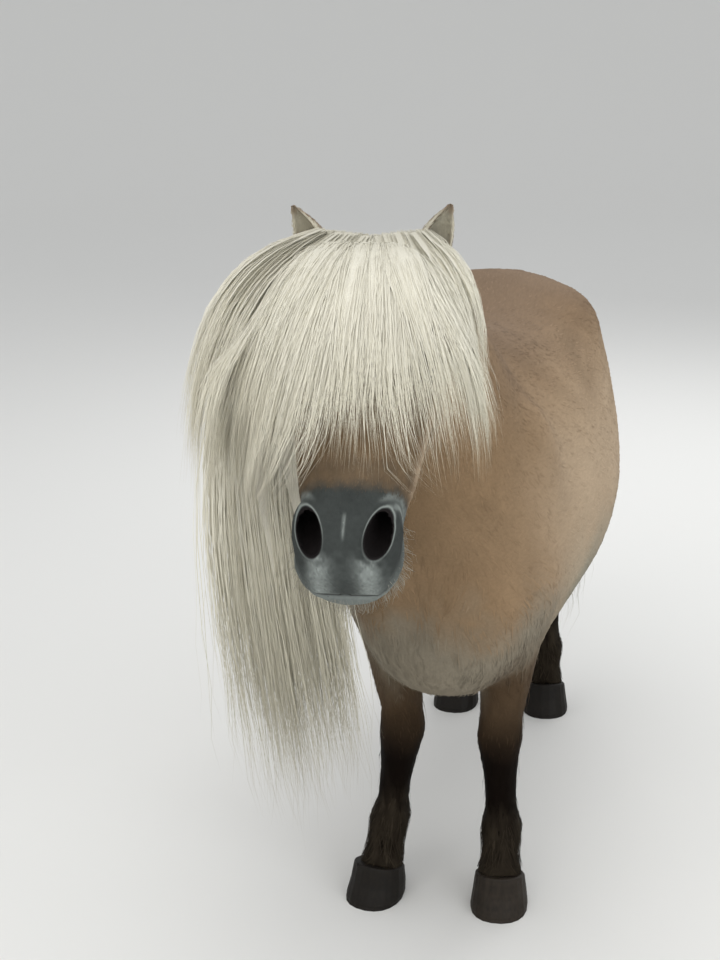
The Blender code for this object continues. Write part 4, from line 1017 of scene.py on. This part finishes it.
def lie_of_coat(points, normals):
    """The way the short coat lies: back and down on the body, down the legs and down the face."""
    _, y, z = points.T
    across = in_head(points)[:, 0]
    face = np.stack([0.012 * across, 0.25 + 0 * across, -1 + 0 * across], 1)
    way = layered(
        np.tile((0, 0.80, -0.60), (len(points), 1)),
        ((0, 0.10, -1.0), fade(0.55, 0.42, z)),
        ((0, 0.45, -0.9), fade(-0.20, -0.34, y) * fade(0.5, 0.6, z)),
        (face @ np.array(HEAD_MATRIX.to_3x3()).T, head_share(points, 0.02, -0.03)),
        ((0, 0, 1.0), ear_places(points)[1]),
    )
    aside = np.stack([ripple(points, 0.16, 21), ripple(points, 0.13, 22), ripple(points, 0.15, 23)], 1)
    way = unit(way) + 0.22 * aside
    way -= normals * (way * normals).sum(1, keepdims=True)
    return unit(way)


# One patch of short coat: how many tufts, their size and lift, how far they fan and where they grow
Patch = namedtuple("Patch", "name count length width lift fan weight")


def trunk_weight(p):
    return fade(0.38, 0.46, p[:, 2]) * fade(-0.42, -0.36, p[:, 1])


def leg_weight(p):
    return fade(0.50, 0.44, p[:, 2]) * (p[:, 2] > 0.058)


def neck_weight(p):
    return fade(-0.30, -0.36, p[:, 1]) * head_share(p, -0.02, 0.02) * (p[:, 2] > 0.42)


def head_weight(p):
    h = in_head(p)
    ring, _, near = eye_rings(h)
    clear = 1 - near * fade(1.9, 1.4, ring)
    muzzle = fade(92, 70, -h[:, 2])
    reach = fade(1.15, 1.3, nostril_reach(h)[0])
    return head_share(p) * clear * (0.05 + muzzle) * reach * (1 + ear_places(p)[1])


def ear_weight(p):
    height, share = ear_places(p)
    return share * fade(1.0, 0.7, height)


def beard_weight(p):
    """Along the jaw's underside and the chin."""
    _, deep, down = head_parts(p)
    return fade(5, 11, deep) * fade(94, 78, down) * fade(10, 30, down) * head_share(p, 0.02, 0.0)


def whisker_weight(p):
    across, deep, down = head_parts(p)
    lips = fade(74, 82, down) * fade(-2, 2, deep) * fade(9, 12, across)
    lips = lips * fade(1.3, 1.5, nostril_reach(in_head(p))[0])
    chin = fade(84, 90, down) * fade(MOUTH_LEVEL + 1, MOUTH_LEVEL + 4, deep)
    return head_share(p, 0.02, 0) * np.maximum(lips, chin)


def feather_weight(p):
    """Round the coronets and behind the fetlocks."""
    _, y, z = p.T
    fetlock = fade(0.155, 0.12, z) * fade(0.075, 0.095, z) * fade(-0.19, -0.13, behind_leg(y))
    coronet = fade(0.088, 0.078, z) * fade(0.050, 0.060, z)
    return fetlock + 0.8 * coronet


def fringe_weight(p):
    """The belly's line, the elbows, the brisket and the backs of the thighs."""
    _, y, z = p.T
    belly = fade(0.44, 0.38, z) * fade(-0.14, -0.04, y) * fade(0.30, 0.2, y)
    brisket = fade(0.47, 0.40, z) * fade(-0.12, -0.2, y) * (z > 0.345) * (y > -0.4)
    thigh = fade(0.50, 0.56, y) * fade(0.64, 0.56, z) * fade(0.36, 0.42, z)
    return belly + 1.4 * brisket + 0.8 * thigh


PATCHES = (
    Patch("coat_trunk", 13000, 0.017, 0.0026, 0.0005, 0.14, trunk_weight),
    Patch("coat_neck", 5500, 0.018, 0.0026, 0.0007, 0.14, neck_weight),
    Patch("coat_legs", 7000, 0.011, 0.0022, 0.0005, 0.14, leg_weight),
    Patch("coat_head", 9000, 0.0080, 0.0016, 0.0005, 0.14, head_weight),
    Patch("coat_ears", 1200, 0.010, 0.0010, 0.0012, 0.30, ear_weight),
    Patch("coat_beard", 3000, 0.024, 0.0008, 0.0060, 0.40, beard_weight),
    Patch("coat_feather", 2600, 0.026, 0.0014, 0.0022, 0.25, feather_weight),
    Patch("coat_fringe", 2000, 0.020, 0.0014, 0.0025, 0.30, fringe_weight),
    Patch("whiskers", 700, 0.028, 0.0004, 0.0180, 0.50, whisker_weight),
)


def coat_stretch(points):
    """How much longer than elsewhere the coat is: on the belly, chest, throat and buttocks."""
    _, y, z = points.T
    _, deep, down = head_parts(points)
    head = head_share(points)
    belly = fade(0.50, 0.40, z) * fade(-0.2, -0.1, y) * fade(0.36, 0.24, y)
    chest = fade(-0.10, -0.2, y) * fade(0.62, 0.5, z) * fade(0.40, 0.46, z)
    jaw = head * fade(8, 16, deep) * fade(80, 60, down)
    rump = fade(0.50, 0.58, y) * fade(0.5, 0.6, z)
    muzzle = fade(66, 80, down) * head
    return (1 + 0.7 * belly + 0.7 * chest + 0.2 * jaw + 0.4 * rump) * (1 - 0.6 * muzzle)


# Patches whose tufts are paler or greyer than the skin under them
TUFT_TINTS = {
    "whiskers": ((0.42, 0.39, 0.32), 0.8),
    "coat_beard": ((0.50, 0.42, 0.31), 0.7),
    "coat_feather": (FETLOCK_GREY, 0.2),
}


def short_coat(surface, patch, finish, seed):
    """One patch of thin overlapping tufts that lie along the body."""
    roots, normals, unwraps = surface.scatter(patch.count, patch.weight, seed)
    rng = np.random.default_rng(seed + 100)
    way = lie_of_coat(roots, normals)
    side = np.cross(normals, way)
    way = unit(way + side * rng.normal(0, patch.fan, (len(roots), 1)))
    length = patch.length * coat_stretch(roots) * rng.uniform(0.7, 1.3, len(roots))
    lift = patch.lift * rng.uniform(0.4, 1.3, len(roots)) * np.sqrt(coat_stretch(roots))
    middle = surface.settle(roots + way * (length * 0.5)[:, None], lift * 0.8)
    tip = surface.settle(roots + way * length[:, None], lift)
    centres = np.stack([roots - normals * TUFT_ROOT, middle, tip], 1)
    outs = np.repeat(normals[:, None], 3, 1)
    widths = patch.width * rng.uniform(0.6, 1.3, (len(roots), 1)) * np.array([[0.7, 1.0, 0.0]])
    points, facing = blades(centres, outs, widths, TUFT_THICKNESS, outs)
    colour = tint(roots, normals)
    if patch.name in TUFT_TINTS:
        colour = mixed(colour, *TUFT_TINTS[patch.name])
    values = {
        "markings_and_painted_light": np.repeat(colour, 7, axis=0),
        "tone": blade_values(np.repeat(rng.random((len(roots), 1)), 3, 1)),
        "along": blade_values(np.tile([0.0, 0.5, 1.0], (len(roots), 1))),
    }
    faces, patches = blade_faces(len(roots), 2), blade_patches(unwraps, 3)
    return piece(patch.name, points, faces, finish, "coat", patches, facing, TUFT_SOFTNESS, **values)


class Finish:
    """A new material with values on its shader, and short ways to its other nodes."""

    def __init__(self, name, **values):
        self.made = bpy.data.materials.new(name)
        self.made.use_nodes = True
        self.tree = self.made.node_tree
        self.shader = self.tree.nodes["Principled BSDF"]
        for key, value in values.items():
            self.shader.inputs[key.replace("_", " ")].default_value = value

    def add(self, kind, settings=(), **inputs):
        """The outputs of a new node; each input takes a value or another node's output."""
        node = self.tree.nodes.new(f"ShaderNode{kind}")
        put(node, **dict(settings))
        for key, value in inputs.items():
            if isinstance(value, bpy.types.NodeSocket):
                self.tree.links.new(value, node.inputs[key])
            else:
                node.inputs[key].default_value = value
        return node.outputs

    def stored(self, name, output="Fac"):
        return self.add("Attribute", {"attribute_name": name})[output]

    def ramp(self, amount, *stops):
        """Greys or colours at shares of an amount."""
        node = self.tree.nodes.new("ShaderNodeValToRGB")
        while len(node.color_ramp.elements) < len(stops):
            node.color_ramp.elements.new(0.5)
        for element, (at, value) in zip(node.color_ramp.elements, stops):
            element.position = at
            element.color = (value, value, value, 1) if isinstance(value, float) else (*value, 1)
        self.tree.links.new(amount, node.inputs["Fac"])
        return node.outputs["Color"]

    def noise(self, scale, stretch, turn=(0, 0, 0), detail=4.0):
        """Noise on the object's own coordinates, stretched along the lie of the coat."""
        place = self.add("TexCoord")["Object"]
        mapped = self.add("Mapping", Vector=place, Scale=stretch, Rotation=turn)["Vector"]
        return self.add("TexNoise", Vector=mapped, Scale=scale, Detail=detail)["Fac"]

    def times(self, colour, factor):
        """A colour multiplied by a grey factor."""
        kind = {"data_type": "RGBA", "blend_type": "MULTIPLY"}
        return self.add("Mix", kind, Factor=1.0, A=colour, B=factor)["Result"]

    def end(self, colour, height=None, strength=0.0):
        """The material, with this colour and perhaps a bump on its shader."""
        self.tree.links.new(colour, self.shader.inputs["Base Color"])
        if height is not None:
            bump = self.add("Bump", Strength=strength, Distance=BUMP_DEPTH, Height=height)
            self.tree.links.new(bump["Normal"], self.shader.inputs["Normal"])
        return self.made


def skin_finish():
    """Skin under the coat: its colours with their painted light and shade, broken up along the lie, with a
    fine nap in its bump.
    """
    made = Finish("coat_skin", Roughness=0.70, Sheen_Roughness=0.45, **COAT_SHINE)
    noise = made.noise(260, (1, 0.22, 1), (math.radians(-37), 0, 0))
    shades = made.ramp(noise, (0.25, 0.90), (0.75, 1.06))
    return made.end(made.times(made.stored("markings_and_painted_light", "Color"), shades), noise, 0.30)


def coat_finish():
    """The tufts: the skin's colours with their painted light and shade, each tuft its own tone, darker at
    the root than at the tip.
    """
    made = Finish("coat_tufts", Roughness=0.62, Sheen_Roughness=0.4, **COAT_SHINE)
    tone = made.ramp(made.stored("tone"), (0.0, 0.95), (1.0, 1.05))
    along = made.ramp(made.stored("along"), (0.0, 0.97), (1.0, 1.04))
    return made.end(made.times(made.times(made.stored("markings_and_painted_light", "Color"), tone), along))


def hair_finish(name, stops):
    """Cream hair, darker to its tips, each strand its own shade."""
    made = Finish(name, Roughness=0.65, Specular_IOR_Level=0.08)
    tone = made.ramp(made.stored("tone"), (0.0, 0.91), (0.5, 0.98), (1.0, 1.03))
    return made.end(made.times(made.ramp(made.stored("along"), *stops), tone))


def under_finish(name, stops):
    """The hair behind the strands: as they are, streaked along its fall."""
    made = Finish(name, Roughness=0.7)
    noise = made.noise(700, (1, 1, 0.03), detail=3.0)
    shades = made.ramp(noise, (0.3, 0.86), (0.7, 1.0))
    return made.end(made.times(made.ramp(made.stored("along"), *stops), shades), noise, 0.5)


def horn_finish(name, colour, darker):
    """Hoof horn: fine streaks down the wall and faint rings round it."""
    made = Finish(name, Roughness=0.55, Specular_IOR_Level=0.2)
    streaks = made.noise(240, (1, 1, 0.05), detail=5.0)
    rings = made.noise(95, (0.05, 0.05, 1), detail=2.0)
    both = made.add("Mix", Factor=0.4, A=streaks, B=rings)["Result"]
    return made.end(made.ramp(both, (0.3, darker), (0.7, colour)), both, 0.4)


def eye_finish(name, centre, side):
    """A dark brown eye with a wide, level pupil under a wet cornea."""
    made = Finish(name, Roughness=0.08, Coat_Weight=0.6, Coat_Roughness=0.03)
    front = Vector(centre) + HEAD_MATRIX.to_3x3() @ Vector((EYE_RADIUS * side, 0, 0))
    place = made.add("TexCoord")["Object"]
    spot = {"Location": front, "Rotation": (0, 0, HEAD_TURN), "Scale": IRIS_SIZE}
    mapped = made.add("Mapping", {"vector_type": "TEXTURE"}, Vector=place, **spot)["Vector"]
    reach = made.add("VectorMath", {"operation": "LENGTH"}, Vector=mapped)["Value"]
    return made.end(made.ramp(reach, *IRIS_SHADES))


def under_locks(name, surface, guides, kind, finish):
    """Broad flat locks under the strands, so that no gap opens between them; their tips stay hidden."""
    share = np.linspace(0, 1, UNDER_STATIONS)
    along = share * UNDER_REACH
    shape = UNDER_WIDTH * (0.75 + 0.25 * fade(0, 0.2, share)) * fade(1.02, 0.55, share)
    parts = []
    for guide in guides:
        outs = unit(along_path(guide.outs, along))
        centres = along_path(guide.points, along) - outs * guide.depth * UNDER_DEPTH
        parts.append((centres, outs, guide.width * shape))
    centres, outs, widths = (np.stack(part) for part in zip(*parts))
    points, facing = blades(centres, outs, widths, UNDER_THICKNESS, unit(outs + np.array(kind.light)))
    faces = blade_faces(len(parts), UNDER_STATIONS - 1)
    patches = blade_patches(surface.unwrapped(centres[:, 0]), UNDER_STATIONS)
    values = blade_values(np.tile(along, (len(parts), 1)))
    return piece(name, points, faces, finish, "hair", patches, facing, STRAND_SOFTNESS, along=values)


def dress_hooves():
    for end in ENDS:
        for label, _ in SIDES:
            shades = PALE_HORN if PALE_HOOF == (end, label) else DARK_HORN
            dress_hoof(f"hoof_{end}_{label}", shades)


def dress_hoof(name, shades):
    """A finer copy of a hoof: growth rings round the wall, a soft coronet, worn lower edges."""
    hoof = copied(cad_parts[name], f"{name}_horn")
    merge_corners(hoof)
    apply(hoof, "SUBSURF", levels=3, render_levels=3, subdivision_type="SIMPLE")
    eased(hoof.data, 0.9 * fade(0.0, 0.006, shape_of(hoof.data)[0][:, 2]), 10)
    points, normals = shape_of(hoof.data)
    height = points[:, 2]
    rings = np.sin(height * RING_PITCH + 0.8 * ripple(points, 0.05, 41))
    worn = ripple(points, 0.012, 42) * fade(0.012, 0.002, height)
    wall = fade(0.9, 0.6, np.abs(normals[:, 2])) * fade(0.0, 0.004, height)
    move = wall * (0.00022 * rings - 0.0003 * np.abs(worn) - 0.0003)
    reshape(hoof.data, points + normals * move[:, None])
    smooth(hoof)
    finished(hoof, horn_finish(name.replace("hoof", "horn"), *shades))
    wear(hoof, "horn", name)


def dress_eyes():
    for label, side in SIDES:
        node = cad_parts[f"eye_{label}"]
        finished(node, eye_finish(f"eye_{label}_wet", middle(node.name), side))


def ear_skins(skin):
    """Smooth copies of the ears, joined to the skin."""
    copies = [skin]
    for label, _ in SIDES:
        made = copied(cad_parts[f"ear_{label}"], f"ear_skin_{label}")
        merge_corners(made)
        edit_all(made, (bpy.ops.mesh.tris_convert_to_quads, {}))
        apply(made, "SUBSURF", levels=2, render_levels=2)
        smooth(made)
        copies.insert(0, made)
    return joined(copies)


def add_floor():
    """A wide level floor that curves up all round, so that no edge shows behind the pony."""
    bpy.ops.mesh.primitive_circle_add(vertices=96, radius=FLOOR_RADIUS, fill_type="NGON")
    floor = bpy.context.object
    floor.name = "floor"
    bm = bmesh.new()
    bm.from_mesh(floor.data)
    edges = [edge for edge in bm.edges if edge.is_boundary]
    for step in range(1, FLOOR_STEPS + 1):
        turn = math.radians(90) * step / FLOOR_STEPS
        made = bmesh.ops.extrude_edge_only(bm, edges=edges)["geom"]
        reach = FLOOR_RADIUS + FLOOR_CURVE * math.sin(turn)
        for vert in (item for item in made if isinstance(item, bmesh.types.BMVert)):
            way = Vector((vert.co.x, vert.co.y, 0)).normalized() * reach
            vert.co = Vector((way.x, way.y, FLOOR_CURVE * (1 - math.cos(turn))))
        edges = [item for item in made if isinstance(item, bmesh.types.BMEdge)]
    bm.to_mesh(floor.data)
    bm.free()
    smooth(floor)
    finished(floor, Finish("pale_floor", Base_Color=(*FLOOR_GREY, 1), Roughness=0.9).made)


def add_light(name, place, aim, size, power, colour):
    bpy.ops.object.light_add(type="AREA", location=place)
    lamp = bpy.context.object
    lamp.name = name
    put(lamp.data, energy=power, shape="DISK", size=size, color=colour)
    lamp.rotation_euler = (Vector(aim) - Vector(place)).to_track_quat("-Z", "Y").to_euler()


def add_studio():
    world = bpy.data.worlds.new("studio")
    bpy.context.scene.world = world
    world.use_nodes = True
    background = world.node_tree.nodes["Background"]
    background.inputs["Color"].default_value = SKY
    background.inputs["Strength"].default_value = SKY_STRENGTH
    for light in LIGHTS:
        add_light(*light)
    bpy.context.scene.view_settings.view_transform = "Standard"


def add_camera():
    pitch, turn = CAMERA_PITCH, CAMERA_TURN
    ahead = Vector((-math.sin(turn) * math.cos(pitch), math.cos(turn) * math.cos(pitch), -math.sin(pitch)))
    bpy.ops.object.camera_add(location=CAMERA_PLACE)
    camera = bpy.context.object
    put(camera.data, lens=LENS, sensor_width=36, sensor_fit="AUTO")
    camera.rotation_mode = "QUATERNION"
    camera.rotation_quaternion = Quaternion(ahead, CAMERA_ROLL) @ ahead.to_track_quat("-Z", "Y")
    bpy.context.scene.camera = camera


def dress():
    """Everything that shows, made in the order in which it lies."""
    skin = build_skin()
    surface = Surface(skin)
    skin = ear_skins(skin)
    skin.name = skin.data.name = "pony_skin"
    surface.measure(skin)
    paint(skin.data, tint(*shape_of(skin.data)))
    finished(skin, skin_finish())
    wear(skin, "coat", *(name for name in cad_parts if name.split("_")[0] in FLESH + ("ear",)))
    tufts = coat_finish()
    for number, patch in enumerate(PATCHES):
        short_coat(surface, patch, tufts, number)
    for name, guides, kind, pieces, triangles, stops in (
        ("forelock", forelock_guides, FORELOCK_STRAND, 3, 155000, FORELOCK_SHADES),
        ("mane", mane_guides, MANE_STRAND, 3, 150000, MANE_SHADES),
        ("tail", tail_guides, TAIL_STRAND, 1, 110000, MANE_SHADES),
    ):
        drawn = guides(surface, random.Random(LOCK_SEED))
        under = under_finish(f"{name}_under_shades", stops)
        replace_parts(under_locks(f"{name}_under", surface, drawn, kind, under), name)
        hair = hair_finish(f"{name}_shades", stops)
        for obj in long_hair(f"{name}_hair", surface, drawn, kind, hair, pieces, triangles):
            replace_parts(obj, name)
    dress_hooves()
    dress_eyes()


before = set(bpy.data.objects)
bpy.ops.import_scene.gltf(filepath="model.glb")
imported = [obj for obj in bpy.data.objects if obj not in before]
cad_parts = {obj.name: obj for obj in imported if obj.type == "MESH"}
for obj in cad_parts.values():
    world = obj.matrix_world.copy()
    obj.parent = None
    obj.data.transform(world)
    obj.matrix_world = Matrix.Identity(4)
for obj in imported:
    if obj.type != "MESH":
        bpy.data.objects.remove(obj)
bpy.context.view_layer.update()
SHIFT = middle("eye_left") - head_axes(Vector()) @ (Vector(EYE_PLACE) * HEAD / 100)
HEAD_MATRIX = head_axes(SHIFT)
HEAD_EDGE = HEAD_BACK + SHIFT.y
add_camera()
add_studio()
add_floor()
dress()
